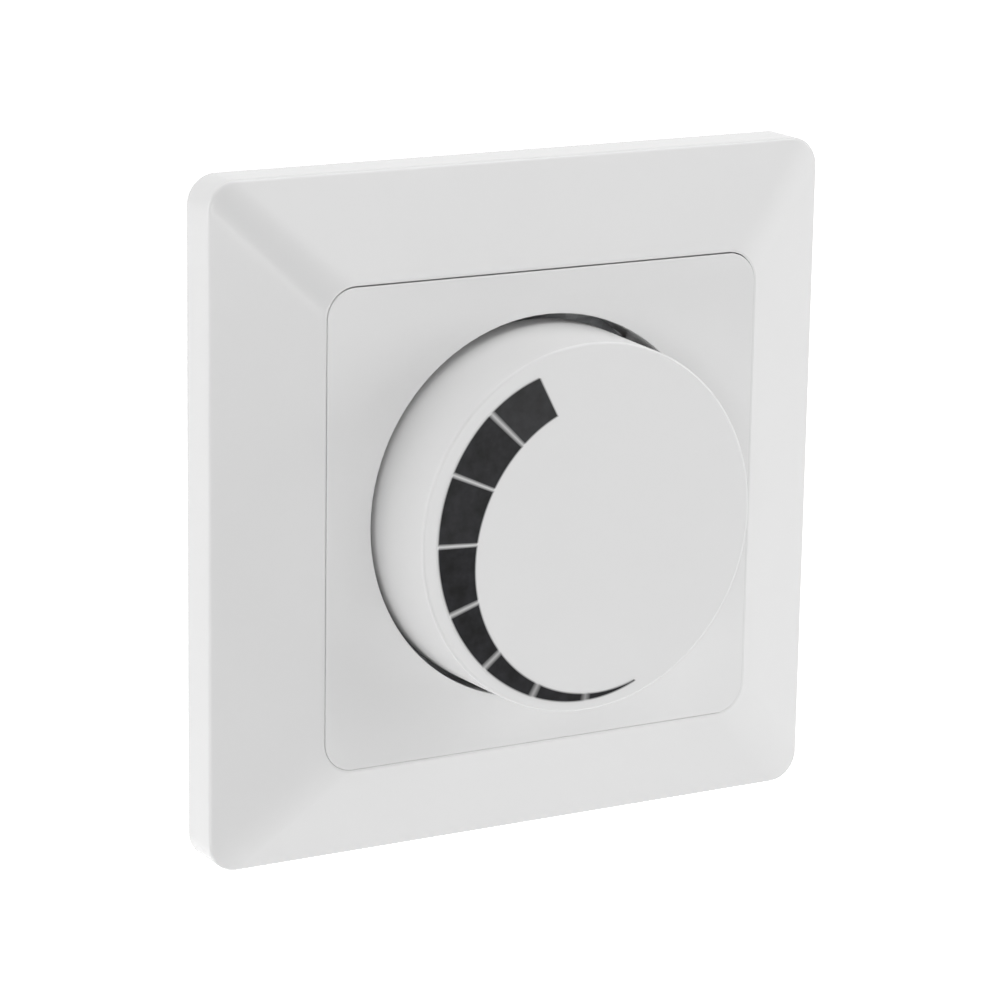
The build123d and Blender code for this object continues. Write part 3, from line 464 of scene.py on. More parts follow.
class Graph:
    """Node tree of one material, with short ways to add nodes on Object coordinates."""

    def __init__(self, name: str) -> None:
        """Starts a material with a Principled shader.

        Args:
            name: Name of the material.
        """
        self.material = bpy.data.materials.new(name)
        self.material.use_nodes = True
        self.tree = self.material.node_tree
        self.shader = self.tree.nodes["Principled BSDF"]
        self.place = self.tree.nodes.new("ShaderNodeTexCoord").outputs["Object"]

    def add(self, kind: str, **settings: object) -> bpy.types.Node:
        """Adds a node.

        Args:
            kind: Blender's node type.
            settings: Properties to set on it.

        Returns:
            The new node.
        """
        node = self.tree.nodes.new(kind)
        for name, value in settings.items():
            setattr(node, name, value)
        return node

    def join(self, source: Socket, target: Socket) -> None:
        """Links an output to an input."""
        self.tree.links.new(source, target)

    def set(self, **values: object) -> None:
        """Sets constants on the shader's own sockets, with _ for a space in the name."""
        for name, value in values.items():
            self.shader.inputs[name.replace("_", " ")].default_value = value

    def stretched(self, scale: tuple[float, float, float]) -> Socket:
        """Object coordinates with a scale of their own along each axis.

        Args:
            scale: Factors along X, Y and Z.

        Returns:
            The vector output.
        """
        mapping = self.add("ShaderNodeMapping")
        mapping.inputs["Scale"].default_value = scale
        self.join(self.place, mapping.inputs["Vector"])
        return mapping.outputs["Vector"]

    def noise(self, size_mm: float, detail: float = 2.0, place: Socket | None = None) -> Socket:
        """Soft noise.

        Args:
            size_mm: Size of its features.
            detail: Octaves.
            place: Vector to read instead of the Object coordinates.

        Returns:
            The factor output, about 0.5.
        """
        node = self.add("ShaderNodeTexNoise")
        node.inputs["Scale"].default_value = 1 / (size_mm * MM)
        node.inputs["Detail"].default_value = detail
        self.join(place or self.place, node.inputs["Vector"])
        return node.outputs["Fac"]

    def cells(self, size_mm: float) -> Socket:
        """Colour of random cells.

        Args:
            size_mm: Size of a cell.

        Returns:
            The colour output.
        """
        node = self.add("ShaderNodeTexVoronoi")
        node.inputs["Scale"].default_value = 1 / (size_mm * MM)
        self.join(self.place, node.inputs["Vector"])
        return node.outputs["Color"]

    def spread(self, factor: Socket, low: float, high: float, edge: float = 0.3) -> Socket:
        """Maps the middle of a factor to a range.

        Args:
            factor: Value to map.
            low: Result at the lower edge.
            high: Result at the upper edge.
            edge: Lower edge of the factor, with the upper one as far from 1.

        Returns:
            The value output.
        """
        return ranged(self.tree, factor, (edge, 1 - edge), (low, high))

    def mixed(self, share: Socket, low: Colour, high: Colour | Socket) -> Socket:
        """Mixes two colours.

        Args:
            share: Share of the second colour.
            low: First colour.
            high: Second colour, or a colour output.

        Returns:
            The colour output.
        """
        node = self.add("ShaderNodeMix", data_type="RGBA")
        first, second = (socket for socket in node.inputs if socket.type == "RGBA")
        first.default_value = (*low, 1)
        if isinstance(high, Socket):
            self.join(high, second)
        else:
            second.default_value = (*high, 1)
        self.join(share, node.inputs["Factor"])
        return next(socket for socket in node.outputs if socket.type == "RGBA")

    def varied(self, factor: Socket, colour: Colour, low: float, high: float) -> Socket:
        """Colour that varies between two of its shades.

        Args:
            factor: Value whose middle is spread from the first shade to the second.
            colour: Linear colour.
            low: Factor on each channel in the first shade.
            high: Factor on each channel in the second shade.

        Returns:
            The colour output.
        """
        shades = (tuple(min(1.0, channel * part) for channel in colour) for part in (low, high))
        return self.mixed(self.spread(factor, 0, 1), *shades)

    def finished(self, tint: Socket, gloss: Socket, relief: Socket, depth_mm: float) -> Material:
        """Joins a colour, a roughness and a relief to the shader.

        Args:
            tint: Colour output.
            gloss: Roughness.
            relief: Height from 0 to 1 that is pressed into the surface.
            depth_mm: Depth of the full height.

        Returns:
            The finished material.
        """
        bump = self.add("ShaderNodeBump")
        bump.inputs["Distance"].default_value = depth_mm * MM
        self.join(relief, bump.inputs["Height"])
        sources = {"Base Color": tint, "Roughness": gloss, "Normal": bump.outputs["Normal"]}
        for name, source in sources.items():
            self.join(source, self.shader.inputs[name])
        return self.material


@dataclass(frozen=True)
class Moulding:
    """Moulded plastic: nearly even colour and gloss with slow flow marks, and a fine eroded grain.

    Args:
        name: Name of the finish.
        colour: Linear colour.
        roughness: Middle roughness.
        grain_mm: Size of the grain.
        grain_depth_mm: Depth of the grain.
        mottle: Share by which the colour varies.
        flow_mm: Size of the flow marks.
        gloss_change: Change of the roughness in the flow marks.
    """

    name: str
    colour: Colour
    roughness: float = 0.45
    grain_mm: float = 0.35
    grain_depth_mm: float = 0.004
    mottle: float = 0.02
    flow_mm: float = 14.0
    gloss_change: float = 0.015

    def build(self) -> Material:
        """Makes the material.

        Returns:
            The new material.
        """
        graph = Graph(self.name)
        flow = graph.noise(self.flow_mm, detail=3.0)
        tint = graph.varied(flow, self.colour, 1 - self.mottle, 1 + self.mottle)
        gloss = graph.spread(flow, self.roughness - self.gloss_change, self.roughness + self.gloss_change)
        return graph.finished(tint, gloss, graph.noise(self.grain_mm), self.grain_depth_mm)


@dataclass(frozen=True)
class PrintedInk:
    """Pad print: a dark film with cloudy patches where it lies thinner, which fades out at its edges.

    Args:
        name: Name of the finish.
        colour: Linear colour.
        ground: Linear colour of the moulding under it.
        cover: Attribute with the share of the ground that is covered.
        cloud_mm: Size of the patches.
        mottle: Share by which the colour varies.
        roughness: Roughness in the dark and in the light patches.
        gloss: Specular level of the film.
        grain_mm: Size of the grain.
        grain_depth_mm: Depth of the grain.
    """

    name: str
    colour: Colour
    ground: Colour
    cover: str = "cover"
    cloud_mm: float = 1.6
    mottle: float = 0.5
    roughness: tuple[float, float] = (0.55, 0.65)
    gloss: float = 0.2
    grain_mm: float = 0.12
    grain_depth_mm: float = 0.002

    def build(self) -> Material:
        """Makes the material.

        Returns:
            The new material.
        """
        graph = Graph(self.name)
        cloud = graph.noise(self.cloud_mm, detail=4.0)
        ink = graph.varied(cloud, self.colour, 1 - self.mottle, 1 + self.mottle)
        share = graph.add("ShaderNodeAttribute", attribute_name=self.cover).outputs["Fac"]
        tint = graph.mixed(share, self.ground, ink)
        graph.set(Specular_IOR_Level=self.gloss)
        gloss = graph.spread(cloud, *self.roughness)
        return graph.finished(tint, gloss, graph.noise(self.grain_mm), self.grain_depth_mm)


@dataclass(frozen=True)
class SheetMetal:
    """Rolled and plated sheet: crystals of the plating under fine rolling lines.

    Args:
        name: Name of the finish.
        colour: Linear colour.
        crystal_mm: Size of the crystals.
        crystal_shades: Factors on the colour of the darkest and of the lightest crystals.
        roughness: Middle roughness.
        gloss_change: Lower and upper change of the roughness between the lines.
        line_mm: Width of the lines.
        line_scale: Width of the lines as a share of their length.
        line_depth_mm: Depth of the lines.
    """

    name: str
    colour: Colour
    crystal_mm: float = 3.0
    crystal_shades: tuple[float, float] = (0.92, 1.06)
    roughness: float = 0.38
    gloss_change: tuple[float, float] = (-0.1, 0.12)
    line_mm: float = 0.25
    line_scale: float = 0.02
    line_depth_mm: float = 0.004

    def build(self) -> Material:
        """Makes the material.

        Returns:
            The new material.
        """
        graph = Graph(self.name)
        lines = graph.noise(self.line_mm, place=graph.stretched((self.line_scale, 1.0, 1.0)))
        tint = graph.varied(graph.cells(self.crystal_mm), self.colour, *self.crystal_shades)
        gloss = graph.spread(lines, *(self.roughness + change for change in self.gloss_change))
        graph.set(Metallic=1.0)
        return graph.finished(tint, gloss, lines, self.line_depth_mm)


@dataclass(frozen=True)
class SmallMetal:
    """Turned, stamped or drawn metal: faint tarnish and tool marks.

    Args:
        name: Name of the finish.
        colour: Linear colour.
        roughness: Middle roughness.
        gloss_change: Lower and upper change of the roughness between the marks.
        tarnish: Share by which the colour darkens in patches.
        patch_mm: Size of the patches.
        mark_mm: Length of the marks.
        mark_scale: Length of the marks as a multiple of their width.
        mark_depth_mm: Depth of the marks.
    """

    name: str
    colour: Colour
    roughness: float = 0.28
    gloss_change: tuple[float, float] = (-0.06, 0.1)
    tarnish: float = 0.12
    patch_mm: float = 1.8
    mark_mm: float = 0.15
    mark_scale: float = 6.0
    mark_depth_mm: float = 0.003

    def build(self) -> Material:
        """Makes the material.

        Returns:
            The new material.
        """
        graph = Graph(self.name)
        marks = graph.noise(self.mark_mm, place=graph.stretched((1.0, self.mark_scale, 1.0)))
        tint = graph.varied(graph.noise(self.patch_mm, detail=4.0), self.colour, 1 - self.tarnish, 1.0)
        gloss = graph.spread(marks, *(self.roughness + change for change in self.gloss_change))
        graph.set(Metallic=1.0)
        return graph.finished(tint, gloss, marks, self.mark_depth_mm)


@dataclass(frozen=True)
class Laminate:
    """Pressed board: a weave that shows faintly through lacquer.

    Args:
        name: Name of the finish.
        colour: Linear colour.
        weave_mm: Width of a thread.
        weave_depth_mm: Depth of the weave.
        roughness: Middle roughness.
        gloss_change: Lower and upper change of the roughness between the clouds.
        cloud_mm: Size of the clouds in the lacquer.
        cloud_shades: Factors on the colour of the darkest and of the lightest clouds.
    """

    name: str
    colour: Colour
    weave_mm: float = 0.5
    weave_depth_mm: float = 0.004
    roughness: float = 0.3
    gloss_change: tuple[float, float] = (-0.05, 0.08)
    cloud_mm: float = 4.0
    cloud_shades: tuple[float, float] = (0.85, 1.15)

    def build(self) -> Material:
        """Makes the material.

        Returns:
            The new material.
        """
        graph = Graph(self.name)
        checker = graph.add("ShaderNodeTexChecker")
        checker.inputs["Scale"].default_value = 1 / (self.weave_mm * MM)
        graph.join(graph.place, checker.inputs["Vector"])
        cloud = graph.noise(self.cloud_mm, detail=3.0)
        tint = graph.varied(cloud, self.colour, *self.cloud_shades)
        gloss = graph.spread(cloud, *(self.roughness + change for change in self.gloss_change))
        return graph.finished(tint, gloss, checker.outputs["Fac"], self.weave_depth_mm)


@dataclass(frozen=True)
class ClearGlass:
    """Drawn glass tube with faint waves.

    Args:
        name: Name of the finish.
        colour: Linear colour.
        ior: Index of refraction.
        roughness: Roughness in the hollows and on the crests of the waves.
        wave_mm: Size of the waves.
        wave_shade: Factor on the colour in the hollows of the waves.
        wave_depth_mm: Depth of the waves.
    """

    name: str
    colour: Colour
    ior: float = 1.48
    roughness: tuple[float, float] = (0.02, 0.05)
    wave_mm: float = 2.5
    wave_shade: float = 0.97
    wave_depth_mm: float = 0.003

    def build(self) -> Material:
        """Makes the material.

        Returns:
            The new material.
        """
        graph = Graph(self.name)
        waves = graph.noise(self.wave_mm)
        tint = graph.varied(waves, self.colour, self.wave_shade, 1.0)
        graph.set(Transmission_Weight=1.0, IOR=self.ior)
        return graph.finished(tint, graph.spread(waves, *self.roughness), waves, self.wave_depth_mm)


WHITE_MOULDING = Moulding("white_moulding", (0.78, 0.78, 0.78), roughness=0.25, grain_depth_mm=0.0006,
                          mottle=0.004)
DARK_PRINT = PrintedInk("dark_print", (0.0105, 0.0105, 0.012), WHITE_MOULDING.colour, mottle=0.8)
ZINC_SHEET = SheetMetal("zinc_sheet", (0.52, 0.53, 0.54), crystal_mm=2.2, roughness=0.48)
PLATED_STEEL = SmallMetal("plated_steel", (0.62, 0.62, 0.63))
BRASS = SmallMetal("brass", (0.72, 0.53, 0.25))
CONTACT_BRONZE = SmallMetal("contact_bronze", (0.66, 0.44, 0.26))
TINNED_BRASS = SmallMetal("tinned_brass", (0.68, 0.68, 0.67), roughness=0.33)
COPPER_WIRE = SmallMetal("copper_wire", (0.6, 0.25, 0.12), roughness=0.24)
BLACK_MOULDING = Moulding("black_moulding", (0.03, 0.03, 0.032), roughness=0.5, mottle=0.12)
GREY_MOULDING = Moulding("grey_moulding", (0.42, 0.43, 0.44), roughness=0.52, grain_mm=0.3,
                         grain_depth_mm=0.02, mottle=0.03)
NATURAL_NYLON = Moulding("natural_nylon", (0.78, 0.75, 0.66), roughness=0.4)
PHENOLIC = Laminate("phenolic", (0.3, 0.17, 0.08), roughness=0.42)
BOARD = Laminate("board", (0.05, 0.2, 0.09))
THERMAL_PAD = Moulding("thermal_pad", (0.55, 0.56, 0.58), roughness=0.7, mottle=0.05)
POWDER_CORE = Moulding("powder_core", (0.62, 0.55, 0.2), roughness=0.38, grain_mm=0.2, grain_depth_mm=0.01)
CAPACITOR_CASE = Moulding("capacitor_case", (0.75, 0.55, 0.1), roughness=0.25)
RESISTOR_BODY = Moulding("resistor_body", (0.65, 0.5, 0.33), roughness=0.25, mottle=0.06)
FUSE_GLASS = ClearGlass("fuse_glass", (0.92, 0.95, 0.95))

CARRIED_OVER = {
    ZINC_SHEET: ("mounting_plate", "bush_washer"),
    PLATED_STEEL: ("control_shaft", "housing_screws", "triac_screw", "triac_nut", "terminal_screws"),
    BRASS: ("control_bush", "bush_nut", "terminal_clamps"),
    CONTACT_BRONZE: ("wiper", "fixed_contacts", "moving_contact"),
    TINNED_BRASS: ("track_terminals", "fuse_caps", "fuse_clips"),
    COPPER_WIRE: ("choke_winding",),
    BLACK_MOULDING: ("pot_housing", "switch_body", "triac", "terminal_block"),
    GREY_MOULDING: ("rear_housing",),
    NATURAL_NYLON: ("wiper_rotor", "switch_plunger"),
    PHENOLIC: ("track_wafer", "switch_base"),
    BOARD: ("circuit_board",),
    THERMAL_PAD: ("insulating_pad",),
    POWDER_CORE: ("choke_core",),
    CAPACITOR_CASE: ("filter_capacitor", "timing_capacitor"),
    RESISTOR_BODY: ("resistors", "diac"),
    FUSE_GLASS: ("fuse_tube",),
}


def dress_piece(piece: Piece, material: Material) -> None:
    """Gives a piece one material.

    Args:
        piece: Object to dress.
        material: Its only material.
    """
    piece.data.materials.clear()
    piece.data.materials.append(material)


def place_piece(piece: Piece, body: Body, slot: Slot, material: Material, *nodes: str) -> None:
    """Dresses a new piece, puts it on its body and hides the nodes that it stands for.

    Args:
        piece: The new piece.
        body: Body that it rides on.
        slot: Slot of the record, not used.
        material: Its material.
        nodes: Nodes that it stands for.
    """
    dress_piece(piece, material)
    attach(piece, body.value)
    if nodes:
        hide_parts(*nodes)
    LOG.info("piece %s rides %s, %d faces", piece.name, body.value, len(piece.data.polygons))


# Sub-assemblies, with lengths in mm and heights over the wall


@dataclass
class CoverFrame:
    """Hollow frame: upright sides, faces that slope up to the window, a ledge and ribs behind.

    Args:
        side: Outside width.
        corner_r: Outside corner radius.
        edge_height: Height of the upright sides.
        crest_height: Height of the window's edge.
        wall: Wall thickness.
        edge_r: Rounding between sides and slopes.
        crest_land: Width of the flat crest.
        crest_r: Rounding of the window's edge.
        window_side: Width of the window.
        window_corner_r: Corner radius of the window.
        ledge_width: Width of the ledge that carries the plate.
        ledge_height: Height of the ledge.
        rib_inside: Distance of the ribs from the axis.
        rib_t: Thickness of a rib.
        rib_pitch: Distance between ribs.
        rib_setback: Distance of the ribs from the wall.
        rib_edge: Rounding of the ribs' edges.
        sink: Depth by which the ribs run into the frame.
    """

    side: float = 80.0
    corner_r: float = 3.5
    edge_height: float = 5.6
    crest_height: float = 11.0
    wall: float = 2.0
    edge_r: float = 0.5
    crest_land: float = 0.3
    crest_r: float = 0.08
    window_side: float = 56.2
    window_corner_r: float = 3.6
    ledge_width: float = 1.75
    ledge_height: float = 9.1
    rib_inside: float = 35.3
    rib_t: float = 1.2
    rib_pitch: float = 22.0
    rib_setback: float = 0.8
    rib_edge: float = 0.15
    sink: float = 0.05

    def cavity(self) -> tuple[Station, Station]:
        """Sloping ceiling of the hollow, parallel to the face in front of it.

        Returns:
            Its outer and its inner station.
        """
        window = self.window_side / 2
        slope = (self.crest_height - self.edge_height) / (self.side / 2 - window - self.crest_land)
        outer = self.side / 2 - self.wall
        inner = window + self.wall
        low = self.edge_height - self.wall * math.hypot(1, slope) + slope * self.wall
        high = low + slope * (outer - inner)
        return (Station(outer, low, self.corner_r - self.wall),
                Station(inner, high, self.window_corner_r + self.wall))

    def stations(self) -> list[Station]:
        """Section of the frame.

        Returns:
            Its corners, from the foot over the crest to the hollow.
        """
        half = self.side / 2
        window = self.window_side / 2
        crest = window + self.crest_land
        ledge = window - self.ledge_width
        ceiling_low, ceiling_high = self.cavity()
        window_r = self.window_corner_r
        return [
            Station(half, 0, self.corner_r),
            Station(half, self.edge_height, self.corner_r, self.edge_r),
            Station(crest, self.crest_height, window_r + self.crest_land, self.crest_r),
            Station(window, self.crest_height, window_r, self.crest_r),
            Station(window, self.ledge_height, window_r),
            Station(ledge, self.ledge_height, window_r),
            Station(ledge, ceiling_high.height, window_r),
            ceiling_high,
            ceiling_low,
            Station(ceiling_low.reach, 0, ceiling_low.corner_r),
        ]

    def ribs(self) -> np.ndarray:
        """Ribs: a section under the sloping ceiling, drawn out to both sides, on four sides.

        Returns:
            Their end profiles, of shape (ribs, 2, 4, 3).
        """
        low, high = self.cavity()
        slope = (high.height - low.height) / (low.reach - high.reach)
        outer = low.reach + self.sink
        inner_top = low.height + slope * (low.reach - self.rib_inside) + self.sink
        section = np.array([[self.rib_inside, self.rib_setback], [outer, self.rib_setback],
                            [outer, low.height + self.sink], [self.rib_inside, inner_top]])
        along = np.array([-1, 0, 1])[:, None] * self.rib_pitch + np.array([-1, 1]) * self.rib_t / 2
        ribs = drawn_out(section, along, Axis.UP)
        return turned_about_axis(ribs, np.arange(4) * math.pi / 2).reshape(-1, 2, 4, 3)

    def build(self, material: Material) -> None:
        """Makes the frame and its ribs.

        Args:
            material: Finish of the moulding.
        """
        grid = swept_square(rounded_profile(self.stations(), True), Ring())
        shell = closed_ring("cover_frame_shell", grid)
        place_piece(shell, Body.FIXED, Slot.WHITE, material, "cover_frame")
        ribs = prisms("cover_frame_ribs", self.ribs(), self.rib_edge)
        place_piece(ribs, Body.FIXED, Slot.WHITE, material)


@dataclass
class CentrePlate:
    """Square plate with a round hole, a collar, a skirt and four snap hooks.

    Args:
        side: Outside width.
        rise: Outside height.
        corner_r: Corner radius.
        front: Height of the face.
        back: Height of the underside.
        edge_r: Rounding of the face's outer edges.
        hole_r: Radius of the hole.
        rim_r: Rounding of the hole's edge.
        hole_centre: Centre of the hole, right and up.
        collar_t: Wall of the collar.
        collar_back: Height of the collar's rear edge.
        skirt_side: Outside width of the skirt.
        skirt_t: Wall of the skirt.
        skirt_corner_r: Corner radius of the skirt.
        skirt_back: Height of the skirt's rear edge.
        hook_width: Width of a hook.
        hook_spread: Distance between the hooks of a pair.
        hook_catch: Height of the catch.
        hook_nose: Reach of the nose.
        hook_nose_length: Length of the nose.
        hook_edge: Rounding of the hooks' edges.
        seat: Offset of its middle in the window, right and up.
        face_margin: Width of the face's border that keeps to its edge's outline.
    """

    side: float = 56.12
    rise: float = 56.0
    corner_r: float = 3.5
    front: float = 11.1
    back: float = 9.1
    edge_r: float = 0.12
    hole_r: float = 22.65
    rim_r: float = 0.1
    hole_centre: tuple[float, float] = (0.15, 0.28)
    collar_t: float = 1.2
    collar_back: float = 4.1
    skirt_side: float = 52.3
    skirt_t: float = 1.3
    skirt_corner_r: float = 3.6
    skirt_back: float = 7.1
    hook_width: float = 6.0
    hook_spread: float = 24.0
    hook_catch: float = -0.15
    hook_nose: float = 0.6
    hook_nose_length: float = 1.8
    hook_edge: float = 0.12
    seat: tuple[float, float] = (0.02, -0.06)
    face_margin: float = 0.8

    def stations(self) -> list[Station]:
        """Section of the plate.

        Returns:
            Its corners, from the outer edge over the face, the hole and the collar to the skirt.
        """
        half = self.side / 2
        collar = self.hole_r + self.collar_t
        skirt = self.skirt_side / 2
        inside = skirt - self.skirt_t
        round_shape = Shape.ROUND
        return [
            Station(half, self.back, self.corner_r),
            Station(half, self.front, self.corner_r, self.edge_r),
            Station(half - self.face_margin, self.front, self.corner_r),
            Station(self.hole_r + self.face_margin, self.front, 0, 0, round_shape),
            Station(self.hole_r, self.front, 0, self.rim_r, round_shape),
            Station(self.hole_r, self.collar_back, 0, 0, round_shape),
            Station(collar, self.collar_back, 0, 0, round_shape),
            Station(collar, self.back, 0, 0, round_shape),
            Station(inside, self.back, self.skirt_corner_r),
            Station(inside, self.skirt_back, self.skirt_corner_r),
            Station(skirt, self.skirt_back, self.skirt_corner_r),
            Station(skirt, self.back, self.skirt_corner_r),
        ]

    def hooks(self) -> np.ndarray:
        """Hooks: a catch with a sloping nose, drawn out to its width, above and below.

        Returns:
            Their end profiles, of shape (hooks, 2, corners, 3).
        """
        outer = self.skirt_side / 2
        tip = self.hook_catch - self.hook_nose_length
        section = np.array([[outer - self.skirt_t, self.back], [outer, self.back], [outer, self.hook_catch],
                            [outer + self.hook_nose, self.hook_catch], [outer - self.skirt_t / 2, tip],
                            [outer - self.skirt_t, tip]])
        across = np.array([-1, 1])[:, None] * self.hook_spread / 2 + np.array([-1, 1]) * self.hook_width / 2
        hooks = drawn_out(section, across, Axis.RIGHT)
        return turned_about_axis(hooks, np.array([0, math.pi])).reshape(-1, 2, len(section), 3)

    def seated(self, points: np.ndarray) -> np.ndarray:
        """Shifts points of the plate to its seat in the window.

        Args:
            points: Points about the plate's own middle, of shape (..., 3).

        Returns:
            Points of the same shape.
        """
        return points + np.array([*self.seat, 0])

    def build(self, material: Material) -> None:
        """Makes the plate and its hooks.

        Args:
            material: Finish of the moulding.
        """
        profile = rounded_profile(self.stations(), True)
        grid = swept_square(profile, Ring(), self.hole_centre, self.rise / self.side)
        plate = closed_ring("centre_plate_face", self.seated(grid))
        place_piece(plate, Body.FIXED, Slot.WHITE, material, "centre_plate")
        hooks = prisms("centre_plate_hooks", self.seated(self.hooks()), self.hook_edge)
        place_piece(hooks, Body.FIXED, Slot.WHITE, material)


@dataclass
class Knob:
    """Hollow knob with a drafted side, a hub with a flatted bore and ribs behind the face.

    Args:
        front: Height of the face.
        back: Height of the rear edge.
        front_r: Radius at the face.
        rear_r: Radius at the rear edge.
        edge_r: Rounding of the rim.
        rear_edge_r: Rounding of the rear edge.
        wall: Wall of the side.
        face_t: Thickness of the face.
        hub_r: Radius of the hub.
        hub_back: Height of the hub's end.
        bore_r: Radius of the bore.
        flat: Distance of the bore's flat from the axis.
        rib_t: Thickness of a rib.
        rib_depth: Depth of a rib.
        rib_count: Number of ribs.
        rib_edge: Rounding of the ribs' edges.
        sink: Depth by which the ribs run into the knob.
        steps: Steps round the axis.
        edge_steps: Steps in each rounding.
    """

    front: float = 21.5
    back: float = 8.0
    front_r: float = 21.5
    rear_r: float = 21.8
    edge_r: float = 0.35
    rear_edge_r: float = 0.2
    wall: float = 1.8
    face_t: float = 2.2
    hub_r: float = 5.5
    hub_back: float = 9.0
    bore_r: float = 3.03
    flat: float = 1.53
    rib_t: float = 1.2
    rib_depth: float = 5.0
    rib_count: int = 6
    rib_edge: float = 0.12
    sink: float = 0.05
    steps: int = 256
    edge_steps: int = 8

    def stations(self) -> list[Station]:
        """Section of the knob.

        Returns:
            Its corners, from the middle of the face over the side and the hollow to the bore.
        """
        inside = self.front - self.face_t
        corners = [
            (0, self.front, 0),
            (self.front_r, self.front, self.edge_r),
            (self.rear_r, self.back, self.rear_edge_r),
            (self.rear_r - self.wall, self.back, 0),
            (self.front_r - self.wall, inside, 0),
            (self.hub_r, inside, 0),
            (self.hub_r, self.hub_back, 0),
            (self.bore_r, self.hub_back, 0),
            (self.bore_r, inside, 0),
            (0, inside, 0),
        ]
        return [Station(reach, height, 0, edge_r, Shape.ROUND) for reach, height, edge_r in corners]

    def surface(self) -> Piece:
        """Surface of revolution with a pole at each end.

        The bore's radius stops at the flat, at flat / sin(angle).

        Returns:
            The new object.
        """
        profile = rounded_profile(self.stations(), False, self.edge_steps)
        angle = np.arange(self.steps) * FULL_TURN / self.steps
        reach = np.repeat(profile[1:-1, :1], self.steps, axis=1)
        reach[-2:] = np.minimum(self.flat / np.maximum(np.sin(angle), self.flat / self.bore_r), self.bore_r)
        height = np.broadcast_to(profile[1:-1, 1:2], reach.shape)
        grid = np.stack([reach * np.cos(angle), reach * np.sin(angle), height], -1)
        poles = np.array([[0, 0, profile[0, 1]], [0, 0, profile[-1, 1]]])
        return capped_tube("knob_cap", grid, poles)

    def ribs(self) -> np.ndarray:
        """Ribs: plates between the hub and the side, turned about the axis.

        Returns:
            Their end profiles, of shape (ribs, 2, 4, 3).
        """
        inside = self.front - self.face_t + self.sink
        low = self.front - self.face_t - self.rib_depth
        start = self.hub_r - self.sink
        end = self.front_r - self.wall + self.sink
        section = np.array([[start, low], [end, low], [end, inside], [start, inside]])
        rib = drawn_out(section, np.array([1, -1]) * self.rib_t / 2, Axis.RIGHT)
        return turned_about_axis(rib, np.arange(self.rib_count) * FULL_TURN / self.rib_count)

    def build(self, material: Material) -> None:
        """Makes the knob and its ribs.

        Args:
            material: Finish of the moulding.
        """
        place_piece(self.surface(), Body.KNOB, Slot.WHITE, material, "knob")
        place_piece(prisms("knob_ribs", self.ribs(), self.rib_edge), Body.KNOB, Slot.WHITE, material)


